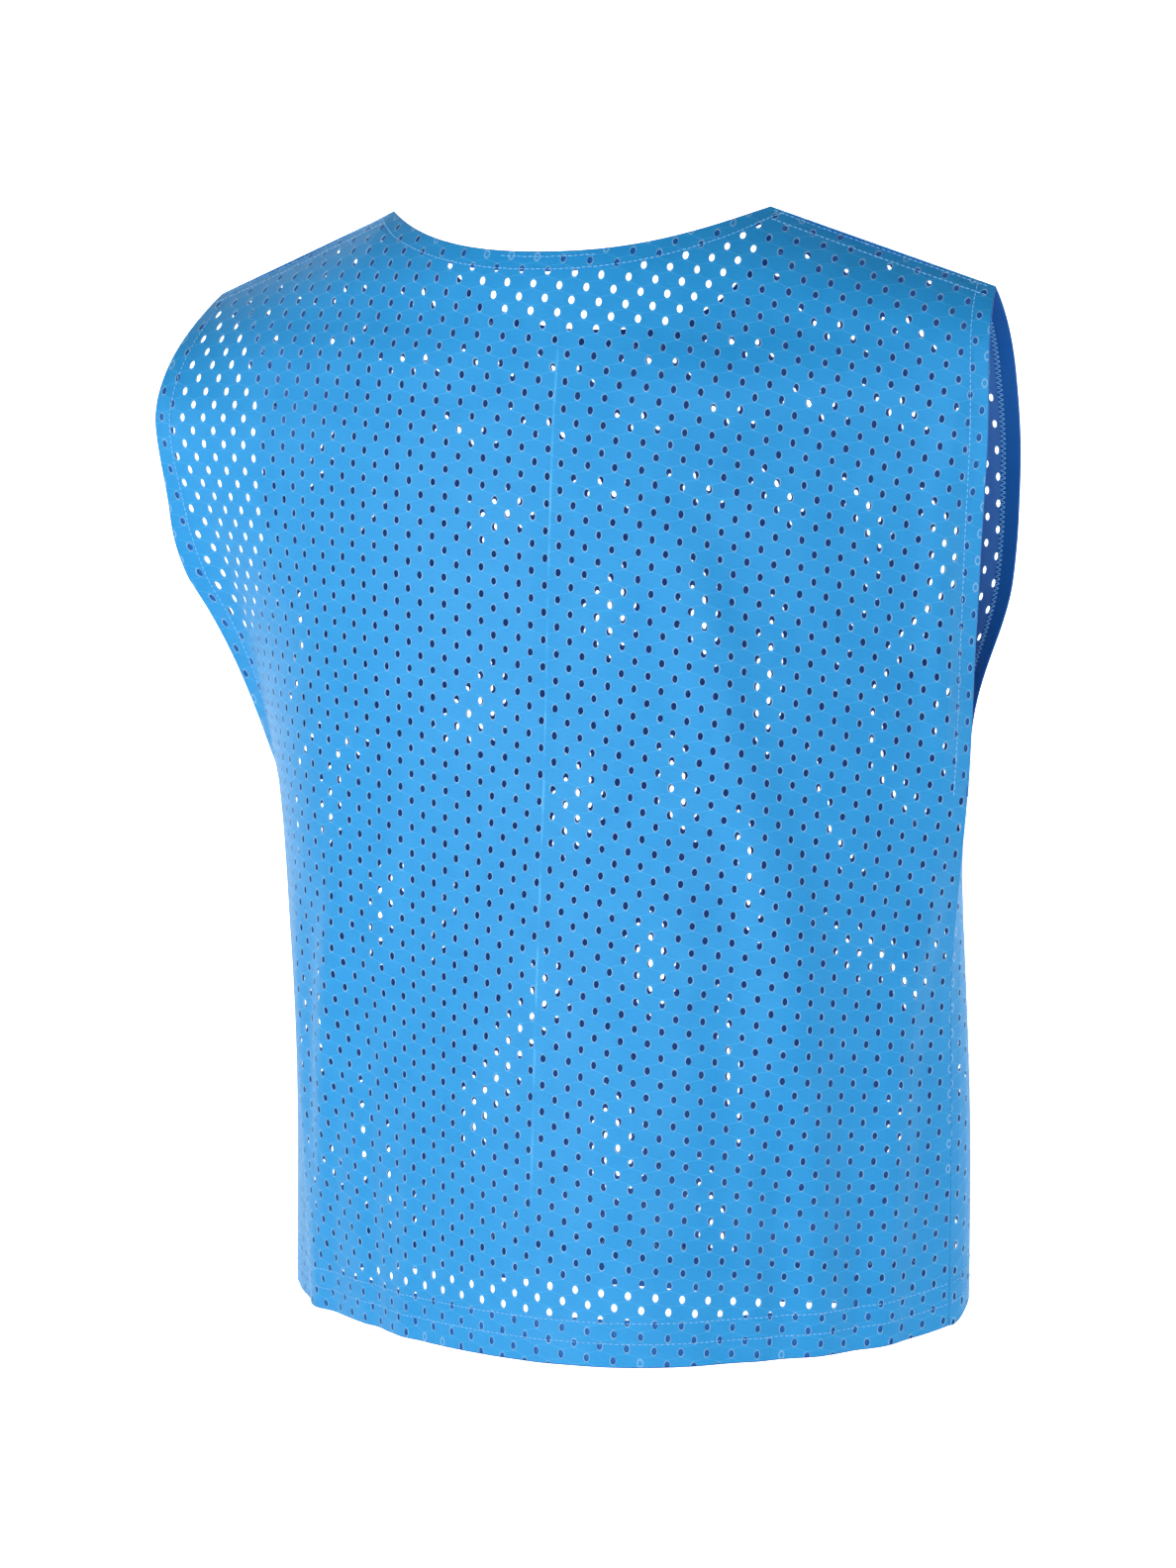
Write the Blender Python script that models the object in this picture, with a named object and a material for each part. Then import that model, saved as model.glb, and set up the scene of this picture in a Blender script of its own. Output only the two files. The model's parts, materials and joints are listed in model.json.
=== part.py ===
"""Training bib of perforated mesh knit, filled out as it is worn: two panels, turned hems, open
neck and armholes.

Metres, +Z up. The front faces -Y and the wearer's left is +X. The origin lies midway between the
neck ends of the shoulder seams, where the bib rests on the wearer. Each panel is a flat pattern
(across, up) that is wrapped round the hollow body by level sections: a row of a section table gives
how far the cloth has turned at nine places across.
"""
import math

import bpy
import numpy as np

# The flat pattern. "Across" runs from the centre line, positive to the wearer's left, and "up" from
# the hem fold.
LENGTH = 0.649
HALF_WIDTH = 0.257
UNDERARM = 0.314
SHOULDER_HALF_WIDTH = 0.250
SHOULDER_DROP = 0.045
NECK_HALF_WIDTH = 0.122
NECK_DROP = {"back": 0.031, "front": 0.072}
NECK_CURVE = {"back": 2.2, "front": 2.8}
# How far each armhole's edge curves in from the straight line up from underarm to shoulder: right
# side, left side.
ARMHOLE_SCOOP = {"back": (-0.004, -0.008), "front": (0.006, 0.014)}

# Cloth and hems.
WALL = 0.0012
SEAM_GAP = 0.0003
LAYER_GAP = 0.0004
NECK_LAYER_GAP = 0.0010
BOTTOM_HEM = 0.024
ARMHOLE_HEM = 0.012
NECK_HEM = 0.009

# Level sections of each panel: height up the pattern (m), depth of the centre line behind the
# origin (m), then the degrees by which the cloth has turned from facing straight back (or straight
# ahead), minus to the wearer's left and plus to the right, at these places across, as fractions of
# the half width from the left edge to the right edge.
STATIONS = (-1.0, -0.75, -0.5, -0.25, 0.0, 0.25, 0.5, 0.75, 1.0)
SECTIONS = {
    "back": (
        # up, depth, left edge ... centre ... right edge
        (0.00, 0.086, -64, -45, -37, -26, -10, 18, 38, 44, 52),
        (0.11, 0.086, -68, -53, -28, -24, -8, 13, 35, 45, 54),
        (0.22, 0.084, -72, -56, -23, -18, -8, 8, 30, 46, 58),
        (0.33, 0.080, -69, -53, -22, -11, -5, 6, 28, 38, 50),
        (0.41, 0.081, -57, -42, -23, -7, -1, 9, 27, 37, 46),
        (0.47, 0.082, -38, -27, -20, -6, 2, 12, 27, 34, 38),
        (0.53, 0.080, -12, -16, -18, -7, 4, 17, 25, 27, 25),
        (0.60, 0.069, -22, -26, -24, -15, 6, 25, 25, 20, 18),
        (0.66, 0.052, -28, -33, -33, -27, 8, 32, 31, 24, 20),
    ),
    "front": (
        (0.00, -0.128, -118, -38, 0, 2, 0, 13, 17, 17, 130),
        (0.11, -0.130, -113, -43, -2, 2, 0, 14, 18, 17, 128),
        (0.22, -0.134, -105, -47, -6, 0, 0, 15, 20, 22, 112),
        (0.33, -0.139, -58, -38, -18, -8, 0, 20, 27, 30, 62),
        (0.41, -0.142, -38, -28, -20, -12, 0, 14, 20, 24, 34),
        (0.47, -0.140, -32, -24, -20, -12, 0, 10, 15, 17, 18),
        (0.53, -0.128, -22, -20, -18, -12, 0, 9, 11, 9, 4),
        (0.60, -0.104, -22, -22, -22, -14, 0, 10, 12, 8, 4),
        (0.66, -0.068, -22, -26, -26, -18, 0, 14, 18, 14, 10),
    ),
}

# Soft folds: panel, across at the foot and at the head, up at the foot and at the head, half width,
# height (a trough is minus). All in metres; each fades out towards both ends.
FOLDS = (
    ("back", -0.150, -0.146, -0.030, 0.150, 0.022, -0.0035),
    ("back", -0.062, -0.050, -0.040, 0.230, 0.040, 0.0030),
    ("back", 0.205, 0.185, -0.030, 0.260, 0.020, 0.0040),
    ("front", 0.105, 0.085, -0.080, 0.300, 0.045, -0.0080),
    ("front", -0.085, -0.070, -0.060, 0.260, 0.040, -0.0070),
    ("front", -0.175, -0.150, -0.050, 0.280, 0.032, 0.0060),
    ("front", 0.180, 0.160, -0.050, 0.240, 0.030, 0.0050),
)

# How far the hem is drawn up at the side seams, right side and left side; it fades out at the
# underarm.
HEM_LIFT = (0.009, 0.003)
# The front's hem is drawn up further beside the right side seam: height, and share of the half width
# over which it rises from the seam.
FRONT_HIKE = (0.024, 0.12)

# The left armhole's lower edge stands out as a flange: it starts at the first height, widens up to
# the second, lies flat again at the third, and stands out by its rise times its width.
FLANGE_UP = (0.315, 0.430, 0.520)
FLANGE_WIDTH = 0.030
FLANGE_RISE = 0.60

# The roll of the cloth over the shoulder, on each side of the shoulder seam.
ROLL_WIDTH = 0.050
ROLL_DEPTH = 0.018
HEAD_BLEND = 0.200
SIDE_FADE = 0.120

# Grid of a panel's solid.
NECK_COLUMNS = 8
SHOULDER_COLUMNS = 8
BODY_ROWS = 20
YOKE_ROWS = 6
YOKE = 0.100
FINE = 0.002

CLOTH_BLUE = (0.035, 0.205, 0.760, 1.0)


def hermite(places, values, at):
    """Smooth curve through values (one row for each place), read at the places in at."""
    places = np.asarray(places, float)
    values = np.asarray(values, float)
    slope = np.gradient(values, places, axis=0)
    i = np.clip(np.searchsorted(places, at, side="right") - 1, 0, len(places) - 2)
    step = places[i + 1] - places[i]
    f = np.clip((at - places[i]) / step, 0.0, 1.0)
    shape = (-1,) + (1,) * (values.ndim - 1)
    f, step = f.reshape(shape), step.reshape(shape)
    start, end = values[i], values[i + 1]
    return (
        (1 + 2 * f) * (1 - f) ** 2 * start
        + f * (1 - f) ** 2 * step * slope[i]
        + f**2 * (3 - 2 * f) * end
        + f**2 * (f - 1) * step * slope[i + 1]
    )


def ease(x):
    """0 below 0, 1 above 1 and smooth between."""
    x = np.clip(x, 0.0, 1.0)
    return x * x * (3 - 2 * x)


def shoulder_up(across):
    """Height of the shoulder seam's line on the pattern."""
    slope = SHOULDER_DROP / (SHOULDER_HALF_WIDTH - NECK_HALF_WIDTH)
    return LENGTH - slope * np.maximum(np.abs(across) - NECK_HALF_WIDTH, 0.0)


def top_up(panel, across):
    """Height of the panel's upper edge: its neckline, then its shoulder seam."""
    near = np.minimum(np.abs(across) / NECK_HALF_WIDTH, 1.0)
    return shoulder_up(across) - NECK_DROP[panel] * (1 - near ** NECK_CURVE[panel])


def edge_across(panel, up, side):
    """Half width of the panel on one side (-1 right, 1 left): its side seam, then its armhole."""
    tip = LENGTH - SHOULDER_DROP
    f = np.clip((up - UNDERARM) / (tip - UNDERARM), 0.0, 1.0)
    straight = HALF_WIDTH + (SHOULDER_HALF_WIDTH - HALF_WIDTH) * f
    scoop = np.where(np.asarray(side) > 0, ARMHOLE_SCOOP[panel][1], ARMHOLE_SCOOP[panel][0])
    return straight - scoop * np.sin(math.pi * f) ** 1.5


def fold_height(panel, across, up):
    """How far the folds lift the cloth off its plain section."""
    height = np.zeros(np.broadcast(across, up).shape)
    for where, foot, head, low, high, half, lift in FOLDS:
        if where != panel:
            continue
        along = np.clip((up - low) / (high - low), 0.0, 1.0)
        aside = (across - (foot + (head - foot) * along)) / half
        height += lift * np.sin(math.pi * along) ** 0.8 * np.clip(1 - aside**2, 0.0, None) ** 2
    if panel == "back":
        low, widest, high = FLANGE_UP
        width = FLANGE_WIDTH * np.clip((up - low) / (widest - low), 0.01, 1.0)
        inside = edge_across(panel, up, 1) - across
        near = np.clip(1 - inside / width, 0.0, 1.3)
        height += FLANGE_RISE * width * ease((high - up) / (high - widest)) * near**1.6
    return height


class Panel:
    """One panel as a fine table of points over its pattern, read by at()."""

    def __init__(self, name):
        self.name = name
        self.facing = 1.0 if name == "back" else -1.0
        self.across = np.arange(-0.30, 0.30 + FINE / 2, FINE)
        self.up = np.arange(-0.02, LENGTH + 0.02, FINE)
        table = np.array(SECTIONS[name], float)
        rows = hermite(table[:, 0], table[:, 1:], self.up)
        places = -np.array(STATIONS) * HALF_WIDTH
        turn = np.radians(hermite(places[::-1], rows[:, :0:-1].T, self.across).T)
        x = self.run(np.cos(turn))
        y = rows[:, :1] + self.facing * self.run(np.sin(turn))
        lift = fold_height(name, self.across[None, :], self.up[:, None])
        x = x - lift * np.sin(turn)
        y = y + self.facing * lift * np.cos(turn)
        below = shoulder_up(self.across)[None, :] - self.up[:, None]
        near = np.clip(1 - below / ROLL_WIDTH, 0.0, 1.3)
        y = y - self.facing * ROLL_DEPTH * near**2
        z = np.repeat(self.up[:, None] - LENGTH, len(self.across), 1)
        z = z - 2 * ROLL_DEPTH**2 / (3 * ROLL_WIDTH) * near**3
        drawn = np.where(self.across > 0, HEM_LIFT[1], HEM_LIFT[0])
        drawn = drawn * (np.abs(self.across) / HALF_WIDTH) ** 6
        if name == "front":
            out = np.maximum(-self.across / HALF_WIDTH, 0.0)
            drawn = drawn + FRONT_HIKE[0] * ease((1 - out) / FRONT_HIKE[1]) * out**3
        z = z + drawn[None, :] * ease(1 - self.up / UNDERARM)[:, None]
        self.points = np.stack([x, y, z], -1)

    def run(self, slope):
        """Running sum of slope across the panel, from its centre line."""
        step = (slope[:, 1:] + slope[:, :-1]) * FINE / 2
        total = np.concatenate([np.zeros((len(slope), 1)), np.cumsum(step, 1)], 1)
        return total - total[:, [len(self.across) // 2]]

    def at(self, across, up):
        """Points of the outer face at these places of the pattern."""
        i = np.clip((across - self.across[0]) / FINE, 0, len(self.across) - 1.001)
        j = np.clip((up - self.up[0]) / FINE, 0, len(self.up) - 1.001)
        a, b = i.astype(int), j.astype(int)
        f, g = (i - a)[..., None], (j - b)[..., None]
        grid = self.points
        low = grid[b, a] * (1 - f) + grid[b, a + 1] * f
        high = grid[b + 1, a] * (1 - f) + grid[b + 1, a + 1] * f
        return low * (1 - g) + high * g

    def normal(self, across, up):
        """Outward directions there."""
        d = FINE
        over = self.at(across + d, up) - self.at(across - d, up)
        rise = self.at(across, up + d) - self.at(across, up - d)
        n = np.cross(over, rise) * -self.facing
        return n / np.linalg.norm(n, axis=-1, keepdims=True)


def fit_front(front, back):
    """Moves the front's points so that its side and shoulder seams lie on the back's."""
    across, up = front.across, front.up
    fade = 1 - ease((up - UNDERARM) / SIDE_FADE)
    for side in (-1, 1):
        edge = np.full(len(up), side * HALF_WIDTH)
        miss = (back.at(edge, up) - front.at(edge, up)) * fade[:, None]
        miss[:, 2] = 0.0
        weight = np.clip(side * across / HALF_WIDTH, 0.0, 1.15) ** 2
        front.points = front.points + miss[:, None, :] * weight[None, :, None]
    seam = shoulder_up(across)
    miss = back.at(across, seam) - front.at(across, seam)
    below = np.clip(seam[None, :] - up[:, None], 0.0, None)
    weight = 1 - ease(below / HEAD_BLEND)
    front.points = front.points + miss[None, :, :] * weight[:, :, None]


def panel_grid(panel):
    """(across, up) of the solid's grid: rows from the hem to the top, columns from the right edge
    to the left edge."""
    neck = np.linspace(0, NECK_HALF_WIDTH, NECK_COLUMNS + 1)
    shoulder = np.linspace(NECK_HALF_WIDTH, SHOULDER_HALF_WIDTH - ARMHOLE_HEM, SHOULDER_COLUMNS)
    half = np.concatenate([neck, shoulder[1:], [SHOULDER_HALF_WIDTH]])
    share = np.concatenate([-half[:0:-1], half])
    top = top_up(panel, share)
    rows = [np.zeros(len(share)), np.full(len(share), BOTTOM_HEM)]
    yoke = top - YOKE
    for k in range(1, BODY_ROWS + 1):
        rows.append(BOTTOM_HEM + (yoke - BOTTOM_HEM) * k / BODY_ROWS)
    for k in range(1, YOKE_ROWS):
        rows.append(yoke + (YOKE - NECK_HEM) * k / YOKE_ROWS)
    rows.append(top - NECK_HEM)
    rows.append(top)
    up = np.array(rows)
    inner = SHOULDER_HALF_WIDTH - ARMHOLE_HEM
    edge = edge_across(panel, up, np.sign(share)[None, :])
    across = share[None, :] * (edge - ARMHOLE_HEM) / inner
    across[:, 0] = -edge[:, 0]
    across[:, -1] = edge[:, -1]
    return across, up


def seam_normal(panels, across, up):
    """Direction half way between the two panels' outward directions, for both edges of a seam."""
    total = sum(panel.normal(across, up) for panel in panels)
    return total / np.linalg.norm(total, axis=-1, keepdims=True)


def panel_faces(panels, name):
    """(outer points, outward directions) of one panel's grid, drawn back from the seams by half
    their gap."""
    panel = panels[name]
    across, up = panel_grid(name)
    seamed = up <= UNDERARM
    both = list(panels.values())
    direction = panel.normal(across, up)
    for column in (0, -1):
        rows = seamed[:, column]
        edge = np.sign(across[rows, column]) * HALF_WIDTH
        direction[rows, column] = seam_normal(both, edge, up[rows, column])
        across[rows, column] -= np.sign(edge) * SEAM_GAP / 2
    shoulder = np.abs(across[-1]) >= NECK_HALF_WIDTH - 1e-6
    direction[-1, shoulder] = seam_normal(both, across[-1, shoulder], up[-1, shoulder])
    up[-1, shoulder] -= SEAM_GAP / 2
    return panel.at(across, up), direction


def slab(outer, inner, leans, closed=False):
    """Points and faces of the closed wall between two equal grids of points. leans says, for each
    span between columns, whether its cells are split from their first corner to the opposite one,
    so that what lies on a panel can be split as the panel is. A closed wall joins its last column
    to its first."""
    rows, columns = outer.shape[:2]
    points = np.concatenate([outer.reshape(-1, 3), inner.reshape(-1, 3)])

    def number(row, column, under):
        return under * rows * columns + row * columns + column % columns

    faces = []
    for column, lean in enumerate(leans):
        after = column + 1
        for row in range(rows - 1):
            if lean:
                halves = (((0, 0), (0, 1), (1, 1)), ((0, 0), (1, 1), (1, 0)))
            else:
                halves = (((0, 0), (0, 1), (1, 0)), ((0, 1), (1, 1), (1, 0)))
            for half in halves:
                faces.append([number(row + r, column + c, 0) for r, c in half])
                faces.append([number(row + r, column + c, 1) for r, c in reversed(half)])
        for row, first, second in ((0, after, column), (rows - 1, column, after)):
            ends = (first, second, second, first)
            faces.append([number(row, c, k) for c, k in zip(ends, (0, 0, 1, 1))])
    if not closed:
        for row in range(rows - 1):
            for column, low, high in ((0, row, row + 1), (columns - 1, row + 1, row)):
                ends = (low, high, high, low)
                faces.append([number(r, column, k) for r, k in zip(ends, (0, 0, 1, 1))])
    return points, faces


def ring_leans(columns):
    """leans of a ring over the back's columns and then the front's: each half of a panel mirrors
    the other."""
    half = [False] * (columns // 2) + [True] * (columns // 2)
    return half * 2


def add_object(name, points, faces, material):
    """A named object of this mesh, its faces turned outwards and shaded smooth."""
    mesh = bpy.data.meshes.new(name)
    mesh.from_pydata([tuple(p) for p in points], [], faces)
    mesh.validate()
    corners = np.array([[tuple(mesh.vertices[v].co) for v in p.vertices[:3]] for p in mesh.polygons])
    volume = np.einsum("ij,ij->i", corners[:, 0], np.cross(corners[:, 1], corners[:, 2])).sum()
    if volume < 0:
        mesh.flip_normals()
    mesh.shade_smooth()
    mesh.set_sharp_from_angle(angle=math.radians(50))
    mesh.materials.append(material)
    obj = bpy.data.objects.new(name, mesh)
    bpy.context.scene.collection.objects.link(obj)
    return obj


def cloth_material(name, shade=1.0):
    """Blue polyester knit."""
    material = bpy.data.materials.new(name)
    material.use_nodes = True
    shader = material.node_tree.nodes["Principled BSDF"]
    red, green, blue, alpha = CLOTH_BLUE
    shader.inputs["Base Color"].default_value = (red * shade, green * shade, blue * shade, alpha)
    shader.inputs["Roughness"].default_value = 0.6
    shader.inputs["Metallic"].default_value = 0.0
    return material


def make_panel(panels, name):
    outer, direction = panel_faces(panels, name)
    spans = outer.shape[1] - 1
    leans = [column >= spans // 2 for column in range(spans)]
    points, faces = slab(outer, outer - direction * WALL, leans)
    return add_object(name + "_panel", points, faces, cloth_material(name + "_mesh"))


def layer(points, directions, gap):
    """The turned-in layer under these outer points: its two faces, one wall and a gap below."""
    return points - directions * (WALL + gap), points - directions * (2 * WALL + gap)


def make_bottom_hem(panels):
    """The hem allowance turned up inside, all round."""
    rings = []
    for name in ("back", "front"):
        outer, direction = panel_faces(panels, name)
        ring = np.concatenate([outer[:2], direction[:2]], -1)
        rings.append(ring if name == "back" else ring[:, ::-1])
    back, front = rings
    right = (back[:, :1] + front[:, -1:]) / 2
    left = (back[:, -1:] + front[:, :1]) / 2
    ring = np.concatenate([right, back[:, 1:-1], left, front[:, 1:-1]], 1)
    outer, inner = layer(ring[..., :3], ring[..., 3:], LAYER_GAP)
    points, faces = slab(outer, inner, ring_leans(ring.shape[1] // 2), closed=True)
    return add_object("bottom_hem", points, faces, cloth_material("hem_bottom"))


def make_armhole_hem(panels, side_name, side):
    """The armhole allowance turned in, from the underarm up the back, over the shoulder and down
    the front."""
    strips = []
    for name in ("back", "front"):
        outer, direction = panel_faces(panels, name)
        _, up = panel_grid(name)
        edge, inside = (-1, -2) if side > 0 else (0, 1)
        rows = up[:, edge] > UNDERARM + ARMHOLE_HEM
        strip = np.stack([outer[rows, edge], outer[rows, inside]])
        aim = np.stack([direction[rows, edge], direction[rows, inside]])
        strip = np.concatenate([strip, aim], -1)
        strips.append(strip if name == "back" else strip[:, ::-1])
    back, front = strips
    seam = (back[:, -1:] + front[:, :1]) / 2
    strip = np.concatenate([back[:, :-1], seam, front[:, 1:]], 1)
    outer, inner = layer(strip[..., :3], strip[..., 3:], LAYER_GAP)
    leans = [False] * (back.shape[1] - 1) + [True] * (front.shape[1] - 1)
    points, faces = slab(outer, inner, leans)
    return add_object("armhole_hem_" + side_name, points, faces, cloth_material("hem_armhole_" + side_name))


def make_neck_hem(panels):
    """The neck allowance turned in, all round the opening."""
    halves = []
    for name in ("back", "front"):
        outer, direction = panel_faces(panels, name)
        middle = outer.shape[1] // 2
        span = slice(middle - NECK_COLUMNS, middle + NECK_COLUMNS + 1)
        strip = np.concatenate([outer[-2:, span], direction[-2:, span]], -1)
        halves.append(strip if name == "back" else strip[:, ::-1])
    back, front = halves
    right = (back[:, :1] + front[:, -1:]) / 2
    left = (back[:, -1:] + front[:, :1]) / 2
    ring = np.concatenate([right, back[:, 1:-1], left, front[:, 1:-1]], 1)
    outer, inner = layer(ring[..., :3], ring[..., 3:], NECK_LAYER_GAP)
    points, faces = slab(outer, inner, ring_leans(2 * NECK_COLUMNS), closed=True)
    return add_object("neck_hem", points, faces, cloth_material("hem_neck"))


def make_bib():
    panels = {"back": Panel("back"), "front": Panel("front")}
    fit_front(panels["front"], panels["back"])
    for name in panels:
        make_panel(panels, name)
    make_bottom_hem(panels)
    make_armhole_hem(panels, "left", 1)
    make_armhole_hem(panels, "right", -1)
    make_neck_hem(panels)


for old in list(bpy.data.objects):
    bpy.data.objects.remove(old)
make_bib()
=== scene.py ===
"""The training bib as it looks: perforated mesh panels with their holes cut, turned hems, stitches
and overlocked edges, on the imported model's frame.

Metres, +Z up. The front faces -Y and the wearer's left is +X. Each panel is a flat pattern (across,
up) that level sections wrap round the hollow body, as in the solids' source.
"""

import json
import math

import bpy
import numpy as np
from mathutils import Vector
from mathutils.geometry import delaunay_2d_cdt
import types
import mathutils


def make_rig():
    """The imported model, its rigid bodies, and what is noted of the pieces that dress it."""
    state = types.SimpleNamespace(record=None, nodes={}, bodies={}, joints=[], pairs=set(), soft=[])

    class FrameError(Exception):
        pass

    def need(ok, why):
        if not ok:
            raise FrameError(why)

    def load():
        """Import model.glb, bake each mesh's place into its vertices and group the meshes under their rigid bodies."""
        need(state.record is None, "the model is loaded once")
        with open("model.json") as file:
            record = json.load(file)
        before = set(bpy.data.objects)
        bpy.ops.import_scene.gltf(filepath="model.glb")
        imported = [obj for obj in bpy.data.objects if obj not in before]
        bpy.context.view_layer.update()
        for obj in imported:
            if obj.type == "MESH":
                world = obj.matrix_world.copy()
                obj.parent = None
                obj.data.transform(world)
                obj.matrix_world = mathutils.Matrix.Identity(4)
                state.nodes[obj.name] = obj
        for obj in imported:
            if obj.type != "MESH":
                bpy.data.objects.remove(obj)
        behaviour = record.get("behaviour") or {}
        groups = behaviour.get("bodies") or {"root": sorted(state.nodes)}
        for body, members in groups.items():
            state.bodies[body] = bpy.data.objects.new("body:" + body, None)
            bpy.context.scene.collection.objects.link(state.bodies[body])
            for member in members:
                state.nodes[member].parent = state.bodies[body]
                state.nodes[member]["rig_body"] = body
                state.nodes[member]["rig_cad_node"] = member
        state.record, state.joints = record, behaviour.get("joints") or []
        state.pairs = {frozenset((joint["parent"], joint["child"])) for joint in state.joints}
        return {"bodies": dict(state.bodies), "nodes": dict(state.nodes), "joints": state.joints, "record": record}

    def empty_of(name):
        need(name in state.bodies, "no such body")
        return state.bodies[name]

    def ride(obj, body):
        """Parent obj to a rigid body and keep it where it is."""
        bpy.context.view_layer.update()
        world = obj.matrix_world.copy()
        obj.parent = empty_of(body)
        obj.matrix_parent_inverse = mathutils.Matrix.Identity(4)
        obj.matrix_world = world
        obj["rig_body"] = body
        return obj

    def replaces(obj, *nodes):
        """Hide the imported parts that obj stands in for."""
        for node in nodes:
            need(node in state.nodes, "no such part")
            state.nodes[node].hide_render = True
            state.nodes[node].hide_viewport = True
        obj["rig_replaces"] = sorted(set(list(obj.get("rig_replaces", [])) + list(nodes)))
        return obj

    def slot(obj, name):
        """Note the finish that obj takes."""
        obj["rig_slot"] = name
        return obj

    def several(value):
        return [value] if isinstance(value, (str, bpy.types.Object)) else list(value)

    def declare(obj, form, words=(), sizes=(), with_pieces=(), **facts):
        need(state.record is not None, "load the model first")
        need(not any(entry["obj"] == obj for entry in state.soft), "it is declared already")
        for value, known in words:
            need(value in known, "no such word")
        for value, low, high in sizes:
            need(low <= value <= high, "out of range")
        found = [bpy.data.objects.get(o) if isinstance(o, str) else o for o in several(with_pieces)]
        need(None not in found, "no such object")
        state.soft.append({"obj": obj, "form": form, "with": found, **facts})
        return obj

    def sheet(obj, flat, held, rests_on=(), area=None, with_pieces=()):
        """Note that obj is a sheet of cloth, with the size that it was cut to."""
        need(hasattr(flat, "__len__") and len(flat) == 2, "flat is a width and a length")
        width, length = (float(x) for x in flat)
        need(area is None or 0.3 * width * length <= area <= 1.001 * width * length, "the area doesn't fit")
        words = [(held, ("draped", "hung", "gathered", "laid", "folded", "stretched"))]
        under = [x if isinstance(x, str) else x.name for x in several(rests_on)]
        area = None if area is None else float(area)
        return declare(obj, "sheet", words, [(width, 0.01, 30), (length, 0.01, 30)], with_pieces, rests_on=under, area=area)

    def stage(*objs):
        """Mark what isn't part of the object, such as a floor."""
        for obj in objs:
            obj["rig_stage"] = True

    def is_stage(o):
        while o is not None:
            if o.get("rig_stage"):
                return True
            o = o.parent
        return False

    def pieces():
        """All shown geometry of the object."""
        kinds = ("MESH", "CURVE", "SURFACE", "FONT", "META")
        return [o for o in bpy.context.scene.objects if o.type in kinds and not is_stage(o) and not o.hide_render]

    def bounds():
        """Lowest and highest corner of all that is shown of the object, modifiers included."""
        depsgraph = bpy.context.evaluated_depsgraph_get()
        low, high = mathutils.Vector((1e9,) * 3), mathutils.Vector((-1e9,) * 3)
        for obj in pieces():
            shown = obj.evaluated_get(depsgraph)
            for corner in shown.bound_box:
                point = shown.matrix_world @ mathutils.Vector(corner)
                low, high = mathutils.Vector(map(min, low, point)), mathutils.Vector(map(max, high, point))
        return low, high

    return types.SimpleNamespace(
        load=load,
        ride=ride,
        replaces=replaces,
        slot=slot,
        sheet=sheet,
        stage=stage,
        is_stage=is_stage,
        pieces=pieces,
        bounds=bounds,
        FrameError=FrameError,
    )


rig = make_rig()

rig.load()
scene = bpy.context.scene
size_before = [list(corner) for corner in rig.bounds()]

# The flat pattern. "Across" runs from the centre line, positive to the wearer's left, and "up" from
# the hem fold.
LENGTH = 0.649
HALF_WIDTH = 0.257
UNDERARM = 0.314
SHOULDER_HALF_WIDTH = 0.250
SHOULDER_DROP = 0.045
NECK_HALF_WIDTH = 0.122
SEAM_SLOPE = SHOULDER_DROP / (SHOULDER_HALF_WIDTH - NECK_HALF_WIDTH)
TIP_UP = LENGTH - SHOULDER_DROP
NECK_DROP = {"back": 0.031, "front": 0.072}
NECK_CURVE = {"back": 2.2, "front": 2.8}
# How far each armhole's edge, right and left, curves in from the straight line up to the shoulder.
ARMHOLE_SCOOP = {"back": (-0.004, -0.008), "front": (0.006, 0.014)}
SCOOP_POWER = 1.5

# Cloth and hems: thickness of the cloth, gaps inside a hem's fold and between panels at a seam, how
# far hems are turned in, and what a side seam takes up.
CLOTH = 0.0005
FOLD_GAP = 0.0003
FOLD = 2 * CLOTH + FOLD_GAP
SEAM_GAP = 0.0003
BOTTOM_HEM = 0.0265
ARMHOLE_HEM = 0.012
NECK_HEM = 0.0108
SEAM_ALLOWANCE = 0.006

# Level sections of each panel: height up the pattern, depth of the centre line behind the origin,
# then the degrees by which the cloth has turned from facing straight back (or ahead), minus to the
# wearer's left, at these places across in half widths, from the left edge to the right one.
STATIONS = (-1.0, -0.75, -0.5, -0.25, 0.0, 0.25, 0.5, 0.75, 1.0)
SECTIONS = {
    "back": (
        # up, depth, then from left edge to right
        (0.00, 0.086, -64, -45, -37, -26, -10, 18, 38, 44, 52),
        (0.11, 0.086, -68, -53, -28, -24, -8, 13, 35, 45, 54),
        (0.22, 0.084, -72, -56, -23, -18, -8, 8, 30, 46, 58),
        (0.33, 0.080, -69, -53, -22, -11, -5, 6, 28, 38, 50),
        (0.41, 0.081, -57, -42, -23, -7, -1, 9, 27, 37, 46),
        (0.47, 0.082, -38, -27, -20, -6, 2, 12, 27, 34, 38),
        (0.53, 0.080, -12, -16, -18, -7, 4, 17, 25, 27, 25),
        (0.60, 0.069, -22, -26, -24, -15, 6, 25, 25, 20, 18),
        (0.66, 0.052, -28, -33, -33, -27, 8, 32, 31, 24, 20),
    ),
    "front": (
        (0.00, -0.128, -118, -38, 0, 2, 0, 13, 17, 17, 130),
        (0.11, -0.130, -113, -43, -2, 2, 0, 14, 18, 17, 128),
        (0.22, -0.134, -105, -47, -6, 0, 0, 15, 20, 22, 112),
        (0.33, -0.139, -58, -38, -18, -8, 0, 20, 27, 30, 62),
        (0.41, -0.142, -38, -28, -20, -12, 0, 14, 20, 24, 34),
        (0.47, -0.140, -32, -24, -20, -12, 0, 10, 15, 17, 18),
        (0.53, -0.128, -22, -20, -18, -12, 0, 9, 11, 9, 4),
        (0.60, -0.104, -22, -22, -22, -14, 0, 10, 12, 8, 4),
        (0.66, -0.068, -22, -26, -26, -18, 0, 14, 18, 14, 10),
    ),
}

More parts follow.
